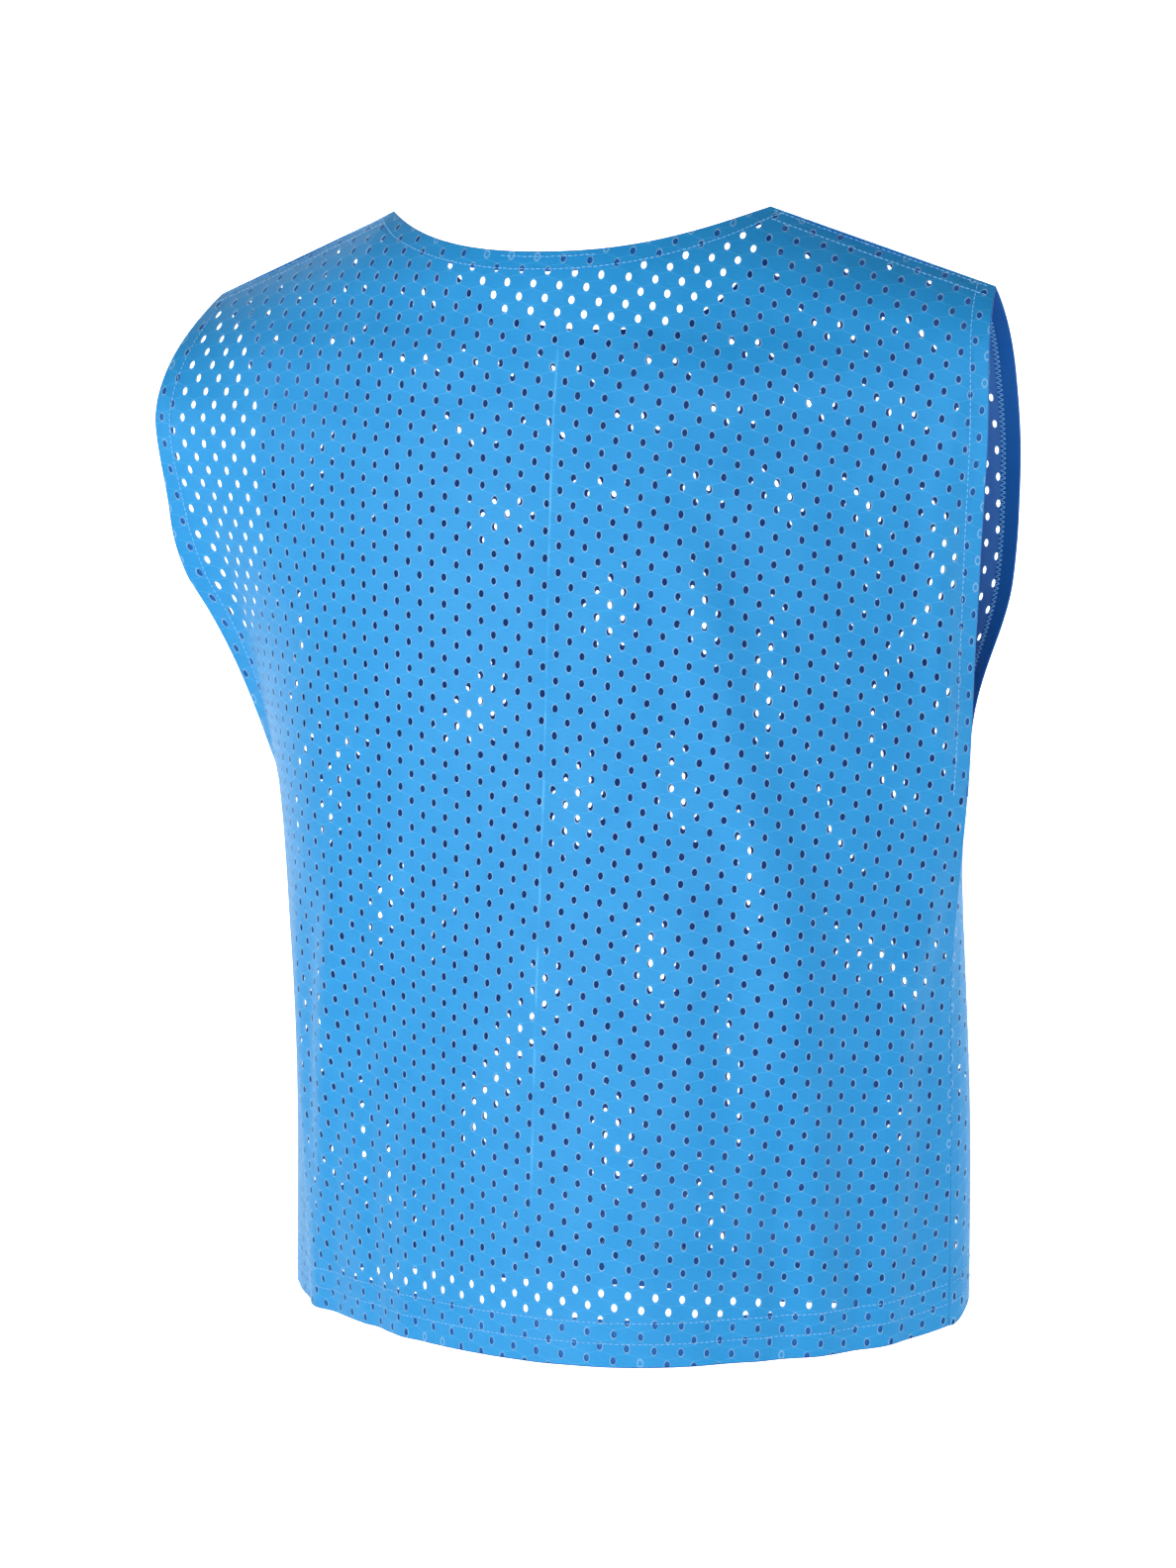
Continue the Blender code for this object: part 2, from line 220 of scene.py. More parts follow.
# Soft folds: panel, across at foot and head, up at foot and head, half width, height (a trough is
# minus). Each fades out towards both ends.
FOLDS = (
    ("back", -0.150, -0.146, -0.030, 0.150, 0.022, -0.0035),
    ("back", -0.062, -0.050, -0.040, 0.230, 0.040, 0.0030),
    ("back", 0.205, 0.185, -0.030, 0.260, 0.020, 0.0040),
    ("front", 0.105, 0.085, -0.080, 0.300, 0.045, -0.0080),
    ("front", -0.085, -0.070, -0.060, 0.260, 0.040, -0.0070),
    ("front", -0.175, -0.150, -0.050, 0.280, 0.032, 0.0060),
    ("front", 0.180, 0.160, -0.050, 0.240, 0.030, 0.0050),
)
FOLD_POWER = 0.8

# How far the hem is drawn up at the side seams, right and left. It fades out at the underarm and,
# by this power, towards the centre line.
HEM_LIFT = (0.009, 0.003)
LIFT_POWER = 6
# The front's hem is drawn up further beside the right side seam: height, and width over which it
# rises, in half widths.
FRONT_HIKE = (0.024, 0.12)
HIKE_POWER = 3

# The left armhole's lower edge stands out as a flange, by its rise times its width. It starts at
# the first height, is widest at the second and lies flat again at the third.
FLANGE_UP = (0.315, 0.430, 0.520)
FLANGE_WIDTH = 0.030
FLANGE_RISE = 0.60
FLANGE_POWER = 1.6
FLANGE_LEAST = 0.01

# The roll of the cloth on each side of the shoulder seam.
ROLL_WIDTH = 0.050
ROLL_DEPTH = 0.018
# Flange and roll go on past the edge until this many widths from where they begin.
PAST_EDGE = 1.3

# The front is drawn onto the back at the seams: this far below the shoulders, above the underarms
# and, in half widths, out to here.
HEAD_BLEND = 0.200
SIDE_FADE = 0.120
PAST_SIDE = 1.15

# A panel's table of points: spacing, half width, and how far it goes past hem and shoulder.
FINE = 0.002
TABLE_HALF_WIDTH = 0.30
TABLE_MARGIN = 0.02
LEAST_LENGTH = 1e-12


def hermite(places, values, at):
    """Smooth curve through values (a row for each place), read at other places."""
    places = np.asarray(places, float)
    values = np.asarray(values, float)
    slope = np.gradient(values, places, axis=0)
    i = np.clip(np.searchsorted(places, at, side="right") - 1, 0, len(places) - 2)
    step = places[i + 1] - places[i]
    f = np.clip((at - places[i]) / step, 0.0, 1.0)
    shape = (-1,) + (1,) * (values.ndim - 1)
    f, step = f.reshape(shape), step.reshape(shape)
    start, end = values[i], values[i + 1]
    return (
        (1 + 2 * f) * (1 - f) ** 2 * start
        + f * (1 - f) ** 2 * step * slope[i]
        + f**2 * (3 - 2 * f) * end
        + f**2 * (f - 1) * step * slope[i + 1]
    )


def ease(x):
    """0 below 0, 1 above 1 and smooth between."""
    x = np.clip(x, 0.0, 1.0)
    return x * x * (3 - 2 * x)


def unit(v):
    """v at length 1."""
    return v / np.maximum(np.linalg.norm(v, axis=-1, keepdims=True), LEAST_LENGTH)


def shoulder_up(across):
    """Height of the shoulder seam's line on the pattern."""
    return LENGTH - SEAM_SLOPE * np.maximum(np.abs(across) - NECK_HALF_WIDTH, 0.0)


def top_up(panel, across):
    """Height of the panel's upper edge: its neckline, then its shoulder seam."""
    near = np.minimum(np.abs(across) / NECK_HALF_WIDTH, 1.0)
    return shoulder_up(across) - NECK_DROP[panel] * (1 - near ** NECK_CURVE[panel])


def edge_across(panel, up, side):
    """Half width of the panel on one side (-1 right, 1 left): its side seam, then its armhole."""
    f = np.clip((up - UNDERARM) / (TIP_UP - UNDERARM), 0.0, 1.0)
    straight = HALF_WIDTH + (SHOULDER_HALF_WIDTH - HALF_WIDTH) * f
    scoop = np.where(np.asarray(side) > 0, ARMHOLE_SCOOP[panel][1], ARMHOLE_SCOOP[panel][0])
    return straight - scoop * np.sin(math.pi * f) ** SCOOP_POWER


def fold_height(panel, across, up):
    """How far the folds lift the cloth off its plain section."""
    height = np.zeros(np.broadcast(across, up).shape)
    for where, foot, head, low, high, half, lift in FOLDS:
        if where != panel:
            continue
        along = np.clip((up - low) / (high - low), 0.0, 1.0)
        aside = (across - (foot + (head - foot) * along)) / half
        bulge = np.clip(1 - aside**2, 0.0, None) ** 2
        height += lift * np.sin(math.pi * along) ** FOLD_POWER * bulge
    if panel == "back":
        low, widest, high = FLANGE_UP
        width = FLANGE_WIDTH * np.clip((up - low) / (widest - low), FLANGE_LEAST, 1.0)
        inside = edge_across(panel, up, 1) - across
        near = np.clip(1 - inside / width, 0.0, PAST_EDGE)
        flat_again = ease((high - up) / (high - widest))
        height += FLANGE_RISE * width * flat_again * near**FLANGE_POWER
    return height


class Panel:
    """One panel as a fine table of points over its pattern, read by at()."""

    def __init__(self, name):
        self.name = name
        self.facing = 1.0 if name == "back" else -1.0
        self.across = np.arange(-TABLE_HALF_WIDTH, TABLE_HALF_WIDTH + FINE / 2, FINE)
        self.up = np.arange(-TABLE_MARGIN, LENGTH + TABLE_MARGIN, FINE)
        table = np.array(SECTIONS[name], float)
        rows = hermite(table[:, 0], table[:, 1:], self.up)
        places = -np.array(STATIONS) * HALF_WIDTH
        turn = np.radians(hermite(places[::-1], rows[:, :0:-1].T, self.across).T)
        x = self.run(np.cos(turn))
        y = rows[:, :1] + self.facing * self.run(np.sin(turn))
        lift = fold_height(name, self.across[None, :], self.up[:, None])
        x = x - lift * np.sin(turn)
        y = y + self.facing * lift * np.cos(turn)
        below = shoulder_up(self.across)[None, :] - self.up[:, None]
        near = np.clip(1 - below / ROLL_WIDTH, 0.0, PAST_EDGE)
        y = y - self.facing * ROLL_DEPTH * near**2
        z = np.repeat(self.up[:, None] - LENGTH, len(self.across), 1)
        z = z - 2 * ROLL_DEPTH**2 / (3 * ROLL_WIDTH) * near**3
        drawn = np.where(self.across > 0, HEM_LIFT[1], HEM_LIFT[0])
        drawn = drawn * (np.abs(self.across) / HALF_WIDTH) ** LIFT_POWER
        if name == "front":
            out = np.maximum(-self.across / HALF_WIDTH, 0.0)
            rise = ease((1 - out) / FRONT_HIKE[1])
            drawn = drawn + FRONT_HIKE[0] * rise * out**HIKE_POWER
        z = z + drawn[None, :] * ease(1 - self.up / UNDERARM)[:, None]
        self.points = np.stack([x, y, z], -1)

    def run(self, slope):
        """Running sum of slope across the panel, from its centre line."""
        step = (slope[:, 1:] + slope[:, :-1]) * FINE / 2
        total = np.concatenate([np.zeros((len(slope), 1)), np.cumsum(step, 1)], 1)
        return total - total[:, [len(self.across) // 2]]

    def at(self, across, up):
        """Points of the outer face at these places of the pattern."""
        i = np.clip((across - self.across[0]) / FINE, 0, len(self.across) - 1.001)
        j = np.clip((up - self.up[0]) / FINE, 0, len(self.up) - 1.001)
        a, b = i.astype(int), j.astype(int)
        f, g = (i - a)[..., None], (j - b)[..., None]
        grid = self.points
        low = grid[b, a] * (1 - f) + grid[b, a + 1] * f
        high = grid[b + 1, a] * (1 - f) + grid[b + 1, a + 1] * f
        return low * (1 - g) + high * g

    def normal(self, across, up):
        """Outward directions there."""
        d = FINE
        over = self.at(across + d, up) - self.at(across - d, up)
        rise = self.at(across, up + d) - self.at(across, up - d)
        return unit(np.cross(over, rise) * -self.facing)


def fit_front(front, back):
    """Moves the front's points so that its side and shoulder seams lie on the back's."""
    across, up = front.across, front.up
    fade = 1 - ease((up - UNDERARM) / SIDE_FADE)
    for side in (-1, 1):
        edge = np.full(len(up), side * HALF_WIDTH)
        miss = (back.at(edge, up) - front.at(edge, up)) * fade[:, None]
        miss[:, 2] = 0.0
        weight = np.clip(side * across / HALF_WIDTH, 0.0, PAST_SIDE) ** 2
        front.points = front.points + miss[:, None, :] * weight[None, :, None]
    seam = shoulder_up(across)
    miss = back.at(across, seam) - front.at(across, seam)
    below = np.clip(seam[None, :] - up[:, None], 0.0, None)
    weight = 1 - ease(below / HEAD_BLEND)
    front.points = front.points + miss[None, :, :] * weight[:, :, None]


def seam_normal(panels, across, up):
    """Direction half way between the panels' outward directions, for a seam's edges."""
    return unit(sum(panel.normal(across, up) for panel in panels))


# The net of holes: rows and columns lie HALF_PITCH apart on the pattern, with a hole at every other
# crossing. Each strays a little from its place and, by these shares, from its size.
HALF_PITCH = 0.0075
NET_COLUMNS, NET_ROWS = np.arange(-40, 41), np.arange(-50, 50)
NET_ROUNDS = 6
HOLE_HALF_WIDTH = {"back": 0.00155, "front": 0.00135}
HOLE_HALF_HEIGHT = 0.00220
HOLE_CORNERS = 10
HOLE_MARGIN = 0.0007
HOLE_STRAY = 0.00010
WIDTH_SPREAD, HEIGHT_SPREAD = 0.035, 0.030
HOLE_SEEDS = {"back": 4, "front": 5}
# The hem fold cuts a hole whose middle is nearer than this share of the hole's half height.
NOTCH_REACH = 0.75
NOTCH_STEPS = 8
NOTCH_MARGIN = 0.0004
NOTCH_INSIDE = 0.93
# Where the net lies on each panel: its origin, lean of its columns, fall of its rows, and how the
# rows bow, turn and swell further out.
NETS = {
    # across, up, lean, fall, bow, twist, swell
    "back": (0.0098, 0.3302, -0.0249, -0.0606, -0.1400, -0.0305, 0.1015),
    "front": (0.0031, 0.3322, 0.0275, 0.062, -0.100, 0.034, 0.0),
}

# Points along the pattern's edges: up a side, along a shoulder, round a neckline, along the hem.
SIDE_POINTS, SHOULDER_POINTS, NECK_POINTS, HEM_POINTS = 111, 23, 61, 87
ON_EDGE = 1e-6
MEETING = 1e-7

# The bake's map: margins, squeeze in width, how far apart outer and inner face lie, and how far a
# hole's inner rim is drawn towards its middle. The wall along an edge is drawn towards the edge's
# place times OUTWARD plus BELOW.
MAP_MARGIN = (0.006, 0.01)
MAP_SQUEEZE = 0.62
MAP_ASIDE = 0.5
RIM_PULL = 0.45
OUTWARD, BELOW = (1.01, 1.004), (0.0, -0.0005)

# Borders: points of each stretch, where an armhole's starts above the underarm, how far from the
# shoulder seam the inward directions begin to follow it, and steps for reading directions.
NECK_STRETCH, ARMHOLE_STRETCH, HEM_STRETCH = 97, 101, 161
ARMHOLE_START = 0.0005
TURN_IN = 0.030
SLOPE_STEP = 1e-5
WIDE_STEP = 0.001
EDGE_STEP = 0.003
JUST_INSIDE = 0.999

# A turned hem: points round its fold and along its strip, where the strip's upper side ends, and
# its place on the net's map.
FOLD_POINTS, STRIP_POINTS = 7, 5
STRIP_END = 0.0002
STRIP_MAP = (0.3, 0.02)

# Stitches: thread, pitch, length, how uneven they are (start and length as shares, sway in metres),
# how far in from the edge each row runs, and its seed.
THREAD = 0.00028
STITCH_PITCH = 0.0032
STITCH_LENGTH = 0.0026
FIRST_STITCH = 0.4
STITCH_PROUD = 0.45
START_SPREAD, LENGTH_SPREAD, SWAY = 0.02, 0.03, 0.00008
NECK_ROW = 0.0098
ARMHOLE_ROW = 0.0102
BOTTOM_ROWS = (0.0130, 0.0248)
SHOULDER_ROWS = (0.0022, 0.0085)
# The short row at the back neck: from, to (across), and how far below the edge.
SHORT_ROW = (-0.031, 0.026, 0.0027)
ROW_POINTS = {"shoulder": 60, "short": 30}
ROW_SEEDS = {"neck": 11, "bottom": 21, "left": 31, "right": 32, "shoulder": 41, "short": 51}
# A length of thread: its rings' place along it and thickness, as shares. Its ends dip inwards.
THREAD_RINGS = ((-0.5, 0.0), (-0.40, 0.8), (-0.15, 1.0), (0.15, 1.0), (0.40, 0.8), (0.5, 0.0))
THREAD_SIDES = 6
THREAD_DIP = 0.9
# The zigzag over a raw edge: pitch, width, reach inside and past the edge (in widths), where it
# turns (in pitches), where it starts and how thick it is (in threads).
OVERLOCK_PITCH = 0.0028
OVERLOCK_WIDTH = 0.0040
OVERLOCK_REACH = (0.85, 0.10)
OVERLOCK_TURNS = (0.45, 0.95)
OVERLOCK_START = 0.002
OVERLOCK_THREAD = 1.1

# Creases: panel, places along the crease, half width, height (a trough is minus). Those that run
# out at the hem end below it.
CREASES = (
    ("back", ((-0.060, 0.530), (-0.120, 0.326), (-0.148, 0.242), (-0.178, -0.100)), 0.027, 0.0034),
    ("back", ((-0.100, 0.360), (-0.112, 0.200), (-0.120, -0.100)), 0.024, -0.0024),
    ("back", ((-0.100, 0.480), (-0.150, 0.390)), 0.030, -0.0018),
    ("back", ((0.088, 0.330), (0.110, 0.190)), 0.016, 0.0016),
    ("back", ((0.078, 0.180), (0.108, -0.100)), 0.015, 0.0016),
    ("back", ((0.118, 0.240), (0.130, -0.100)), 0.014, -0.0018),
    ("back", ((0.126, 0.300), (0.160, 0.152), (0.216, -0.100)), 0.019, 0.0036),
    ("back", ((-0.252, 0.330), (-0.220, 0.176), (-0.206, -0.100)), 0.019, 0.0028),
    ("back", ((-0.240, 0.590), (-0.231, 0.466), (-0.243, 0.290)), 0.017, 0.0028),
    ("back", ((0.002, 0.590), (-0.002, 0.336), (-0.008, -0.100)), 0.014, 0.0010),
    ("back", ((-0.020, 0.550), (-0.246, 0.552)), 0.026, 0.0022),
    ("back", ((0.232, 0.566), (0.020, 0.558)), 0.024, 0.0018),
    ("front", ((0.070, 0.520), (0.130, 0.300), (0.172, -0.100)), 0.026, 0.0030),
    ("front", ((0.100, 0.330), (0.120, -0.100)), 0.022, -0.0022),
    ("front", ((-0.060, 0.500), (-0.110, 0.300), (-0.142, -0.100)), 0.024, 0.0028),
    ("front", ((-0.090, 0.300), (-0.100, -0.100)), 0.018, -0.0020),
    ("front", ((0.212, 0.290), (0.190, 0.150), (0.198, -0.100)), 0.018, 0.0026),
    ("front", ((-0.216, 0.280), (-0.190, 0.140), (-0.202, -0.100)), 0.018, 0.0030),
    ("front", ((0.010, 0.480), (0.002, -0.100)), 0.016, 0.0010),
    ("front", ((-0.030, 0.530), (-0.200, 0.545)), 0.024, 0.0016),
    ("front", ((0.040, 0.535), (0.210, 0.550)), 0.022, 0.0014),
)
# A crease rises over 1 in so many of its length at each end, and dies out this near to a seam.
CREASE_END = 4.0
SEAM_CALM = 0.020

# The least angle at which a piece's shading breaks, in degrees.
CLOTH_ANGLE, THREAD_ANGLE = 50, 80

PANELS = {"back": Panel("back"), "front": Panel("front")}
fit_front(PANELS["front"], PANELS["back"])
BOTH = list(PANELS.values())


def crease_height(name, across, up):
    """How far the creases lift a panel's cloth at these places."""
    height = np.zeros(across.shape)
    for panel, line, half, lift in CREASES:
        if panel != name:
            continue
        line = np.array(line)
        steps = np.linalg.norm(np.diff(line, axis=0), axis=1)
        nearest, share = np.full(across.shape, np.inf), np.zeros(across.shape)
        for k, step in enumerate(steps):
            x, y = across - line[k, 0], up - line[k, 1]
            reach = line[k + 1] - line[k]
            along = np.clip((x * reach[0] + y * reach[1]) / step**2, 0.0, 1.0)
            off = np.hypot(x - along * reach[0], y - along * reach[1])
            share = np.where(off < nearest, (steps[:k].sum() + along * step) / steps.sum(), share)
            nearest = np.minimum(off, nearest)
        ends = ease(CREASE_END * share) * ease(CREASE_END * (1 - share))
        height += lift * ends * np.clip(1 - (nearest / half) ** 2, 0.0, None) ** 2
    return height


for panel in BOTH:
    across, up = np.meshgrid(panel.across, panel.up)
    calm = ease((HALF_WIDTH - np.abs(across)) / SEAM_CALM)
    calm = calm * ease((shoulder_up(across) - up) / SEAM_CALM)
    lift = crease_height(panel.name, across, up) * calm
    panel.points = panel.points + panel.normal(across, up) * lift[..., None]


def net_place(name, column, row):
    """Place of the net's crossing (column, row)."""
    across, up, lean, fall, bow, twist, swell = NETS[name]
    s, t = column * HALF_PITCH, row * HALF_PITCH
    return across - s + lean * t, up + t + fall * s + bow * s**2 + (twist + swell * s) * s * t


def net_at(name, across, up):
    """Column and row of the net at these places."""
    middle, foot, lean, fall, bow, twist, swell = NETS[name]
    t = up - foot
    for _ in range(NET_ROUNDS):
        s = middle - across + lean * t
        t = up - foot - fall * s - bow * s**2 - (twist + swell * s) * s * t
    return s / HALF_PITCH, t / HALF_PITCH


def outline_edge(name, side):
    """Points up one side of a panel, from the hem fold to the shoulder's end."""
    up = np.linspace(0.0, TIP_UP, SIDE_POINTS)
    gap = np.where(up <= UNDERARM, SEAM_GAP / 2, 0.0)
    return np.stack([side * (edge_across(name, up, side) - gap), up], -1)


def outline_top(name):
    """Points along the top of a panel, from the left shoulder's end to the right one's."""
    across = np.concatenate([
        np.linspace(SHOULDER_HALF_WIDTH, NECK_HALF_WIDTH, SHOULDER_POINTS),
        np.linspace(NECK_HALF_WIDTH, -NECK_HALF_WIDTH, NECK_POINTS)[1:],
        np.linspace(-NECK_HALF_WIDTH, -SHOULDER_HALF_WIDTH, SHOULDER_POINTS)[1:],
    ])
    on_seam = np.abs(across) >= NECK_HALF_WIDTH - ON_EDGE
    return np.stack([across, top_up(name, across) - np.where(on_seam, SEAM_GAP / 2, 0.0)], -1)


def holes_of(name):
    """A panel's whole holes and those the fold cuts: across, up, half width, half height."""
    column, row = np.meshgrid(NET_COLUMNS, NET_ROWS)
    keep = (column + row) % 2 == 0
    across, up = net_place(name, column[keep], row[keep])
    count = len(across)
    rng = np.random.default_rng(HOLE_SEEDS[name])
    across = across + rng.normal(0, HOLE_STRAY, count)
    up = up + rng.normal(0, HOLE_STRAY, count)
    wide = HOLE_HALF_WIDTH[name] * (1 + rng.normal(0, WIDTH_SPREAD, count))
    high = HOLE_HALF_HEIGHT * (1 + rng.normal(0, HEIGHT_SPREAD, count))
    beside = edge_across(name, up, np.sign(across)) - np.abs(across)
    rise = np.abs(top_up(name, across + WIDE_STEP) - top_up(name, across - WIDE_STEP))
    above = (top_up(name, across) - up) / np.sqrt(1 + (rise / (2 * WIDE_STEP)) ** 2)
    inside = (beside > wide + HOLE_MARGIN) & (above > high + HOLE_MARGIN)
    whole = inside & (up > high + HOLE_MARGIN)
    cut = inside & (np.abs(up) < high * NOTCH_REACH)
    holes = np.stack([across, up, wide, high], -1)
    return holes[whole], holes[cut]


def bottom_line(notches):
    """The fold's edge from right to left, with the holes that it cuts as notches."""
    points = [(a, 0.0) for a in np.linspace(-HALF_WIDTH, HALF_WIDTH, HEM_POINTS)]
    for across, up, wide, high in notches:
        half = wide * math.sqrt(1 - (up / high) ** 2)
        points = [p for p in points if abs(p[0] - across) > half + NOTCH_MARGIN]
        start = math.asin(-up / high)
        for k in range(NOTCH_STEPS + 1):
            turn = start + (math.pi - 2 * start) * k / NOTCH_STEPS
            points.append((across + wide * math.cos(turn), max(up + high * math.sin(turn), 0.0)))
    return np.array(sorted(points))


def cut_flat(name):
    """A panel's cloth on the pattern with its holes cut: places, triangles, and the places towards
    which the wall is drawn on the bake's map."""
    holes, notches = holes_of(name)
    turn = 2 * math.pi * np.arange(HOLE_CORNERS) / HOLE_CORNERS
    rings = np.stack([
        holes[:, :1] + holes[:, 2:3] * np.cos(turn),
        holes[:, 1:2] + holes[:, 3:4] * np.sin(turn),
    ], -1)
    left, right = outline_edge(name, 1), outline_edge(name, -1)
    bottom = bottom_line(notches)
    bottom[:, 0] = np.clip(bottom[:, 0], right[0, 0], left[0, 0])
    edge = np.concatenate([bottom[:-1], left[:-1], outline_top(name)[:-1], right[:0:-1]])
    drawn = np.concatenate([edge, rings.reshape(-1, 2)])
    spans = [(i, (i + 1) % len(edge)) for i in range(len(edge))]
    owner = np.full(len(drawn), -1)
    for k in range(len(holes)):
        first = len(edge) + k * HOLE_CORNERS
        owner[first:first + HOLE_CORNERS] = k
        spans += [(first + c, first + (c + 1) % HOLE_CORNERS) for c in range(HOLE_CORNERS)]
    made = delaunay_2d_cdt([Vector(p) for p in drawn.tolist()], spans, [], 0, MEETING)
    found = np.array([list(v) for v in made[0]])
    source = np.array([o[0] if o else -1 for o in made[3]])
    faces = np.array([list(f) for f in made[2]])
    own = np.where(source >= 0, owner[source], -2)[faces]
    leave = (own[:, 0] >= 0) & (own[:, 0] == own[:, 1]) & (own[:, 1] == own[:, 2])
    middle = found[faces].mean(1)
    leave |= np.abs(middle[:, 0]) > edge_across(name, middle[:, 1], np.sign(middle[:, 0])) - ON_EDGE
    leave |= middle[:, 1] > top_up(name, middle[:, 0]) - ON_EDGE
    for across, up, wide, high in notches:
        away = ((middle[:, 0] - across) / wide) ** 2 + ((middle[:, 1] - up) / high) ** 2
        leave |= away < NOTCH_INSIDE
    used, faces = np.unique(faces[~leave], return_inverse=True)
    faces = faces.reshape(-1, 3)
    flat = found[used]
    ab, bc, ca = flat[faces[:, 0]], flat[faces[:, 1]], flat[faces[:, 2]]
    one, other = bc - ab, ca - ab
    clockwise = one[:, 0] * other[:, 1] - one[:, 1] * other[:, 0] < 0
    faces[clockwise] = faces[clockwise][:, ::-1]
    owned = np.where(source[used] >= 0, owner[source[used]], -1)
    towards = np.where(owned[:, None] >= 0, holes[owned, :2], flat * OUTWARD + BELOW)
    return flat, faces, towards


def open_edges(faces):
    """Edges that only one face has, in that face's direction."""
    edges = np.concatenate([faces[:, [0, 1]], faces[:, [1, 2]], faces[:, [2, 0]]])
    key = edges.min(1) * (faces.max() + 1) + edges.max(1)
    _, where, count = np.unique(key, return_index=True, return_counts=True)
    return edges[where[count == 1]]


def add_mesh(name, points, faces, material, angle=CLOTH_ANGLE):
    """A piece of the object, shaded smooth with sharp edges."""
    mesh = bpy.data.meshes.new(name)
    mesh.from_pydata(np.asarray(points).tolist(), [], [list(map(int, f)) for f in faces])
    mesh.update()
    mesh.shade_smooth()
    mesh.set_sharp_from_angle(angle=math.radians(angle))
    mesh.materials.append(material)
    obj = bpy.data.objects.new(name, mesh)
    scene.collection.objects.link(obj)
    return obj


def set_map(obj, name, values):
    """A UV map of this name, with a value for each corner."""
    layer = obj.data.uv_layers.new(name=name, do_init=False)
    layer.uv.foreach_set("vector", np.asarray(values, np.float32).ravel())


def bake_place(flat):
    """Places of the pattern on the bake's map, as part of the outer face."""
    span = LENGTH + 2 * MAP_MARGIN[1]
    across = (flat[:, 0] + HALF_WIDTH + MAP_MARGIN[0]) / span * MAP_SQUEEZE
    return np.stack([across, (flat[:, 1] + MAP_MARGIN[1]) / span], -1)


def perforated(name, material, inside):
    """A panel's cloth: outer face, inner face and the walls of its holes and edges."""
    flat, faces, towards = cut_flat(name)
    across, up = flat[:, 0], flat[:, 1]
    normal = PANELS[name].normal(across, up)
    side_seam = (np.abs(across) > HALF_WIDTH - SEAM_GAP) & (up <= UNDERARM)
    on_shoulder = np.abs(across) >= NECK_HALF_WIDTH - ON_EDGE
    seam = side_seam | (on_shoulder & (up > shoulder_up(across) - SEAM_GAP))
    normal[seam] = seam_normal(BOTH, np.clip(across[seam], -HALF_WIDTH, HALF_WIDTH), up[seam])
    outer = PANELS[name].at(across, up)
    inner = outer - normal * CLOTH
    # Seen from outside, across runs to the left on the back and to the right on the front.
    if name == "back":
        faces = faces[:, ::-1]
    edge, n = open_edges(faces), len(flat)
    walls = np.concatenate([
        np.stack([edge[:, 1], edge[:, 0], edge[:, 0] + n], -1),
        np.stack([edge[:, 1], edge[:, 0] + n, edge[:, 1] + n], -1),
    ])
    every = np.concatenate([faces, faces[:, ::-1] + n, walls])
    obj = add_mesh(name + "_cloth", np.concatenate([outer, inner]), every, material)
    # The inner face takes the second material, a darker copy of the cloth: painted shade.
    obj.data.materials.append(inside)
    slots = np.repeat([0, 1, 0], [len(faces), len(faces), len(walls)])
    obj.data.polygons.foreach_set("material_index", slots.astype(np.int32))
    corner = every.ravel()
    set_map(obj, "net", (np.stack(net_at(name, across, up), -1) / 2)[corner % n])
    # The bake's own map: outer face at the left, inner face at the right, walls inside the holes.
    place = bake_place(flat)
    bake = np.concatenate([place, place + np.array([MAP_ASIDE, 0.0])])[corner]
    at, pull = walls.ravel() % n, np.where(walls.ravel() >= n, RIM_PULL, 0.0)[:, None]
    bake[-len(at):] = bake_place(flat[at] + (towards[at] - flat[at]) * pull)
    set_map(obj, "OFBake", bake)
    return obj


# Borders: each is a list of stretches (panel, places on the pattern, inward directions on it).


def turned_inward(plain, seam, past):
    """Inward directions that turn from plain to the seam's as past rises to 0 at the seam."""
    near = ease((past + TURN_IN) / TURN_IN)[:, None]
    return unit(plain * (1 - near) + seam * near)


def neck_border():
    """Round the neck: the back from right to left, then the front from left to right."""
    stretches = []
    for name, start in (("back", -1), ("front", 1)):
        across = np.linspace(start * NECK_HALF_WIDTH, -start * NECK_HALF_WIDTH, NECK_STRETCH)
        near = across * JUST_INSIDE
        rise = top_up(name, near + SLOPE_STEP) - top_up(name, near - SLOPE_STEP)
        plain = unit(np.stack([rise / (2 * SLOPE_STEP), -np.ones(len(across))], -1))
        seam = unit(np.stack([np.sign(across), np.full(len(across), -SEAM_SLOPE)], -1))
        inward = turned_inward(plain, seam, np.abs(across) - NECK_HALF_WIDTH)
        stretches.append((name, np.stack([across, top_up(name, across)], -1), inward))
    return stretches


def armhole_border(side):
    """Round an armhole: up the back from the underarm, then down the front."""
    stretches = []
    for name, step in (("back", 1), ("front", -1)):
        up = np.linspace(UNDERARM + ARMHOLE_START, TIP_UP, ARMHOLE_STRETCH)
        across = side * edge_across(name, up, side)
        inwards = -side * np.ones(len(up))
        plain = unit(np.stack([inwards, side * np.gradient(across, up)], -1))
        seam = unit(np.stack([inwards, np.full(len(up), SEAM_SLOPE)], -1))
        inward = turned_inward(plain, seam, up - up[-1])
        stretches.append((name, np.stack([across, up], -1)[::step], inward[::step]))
    return stretches


def bottom_border():
    """Round the hem fold, the same way."""
    stretches = []
    for name, start in (("back", -1), ("front", 1)):
        across = np.linspace(start * HALF_WIDTH, -start * HALF_WIDTH, HEM_STRETCH)
        flat = np.stack([across, np.zeros(len(across))], -1)
        stretches.append((name, flat, np.tile([0.0, 1.0], (len(across), 1))))
    return stretches


def border_length(stretches):
    """Length of a border on the pattern."""
    return sum(np.linalg.norm(np.diff(flat, axis=0), axis=1).sum() for _, flat, _ in stretches)


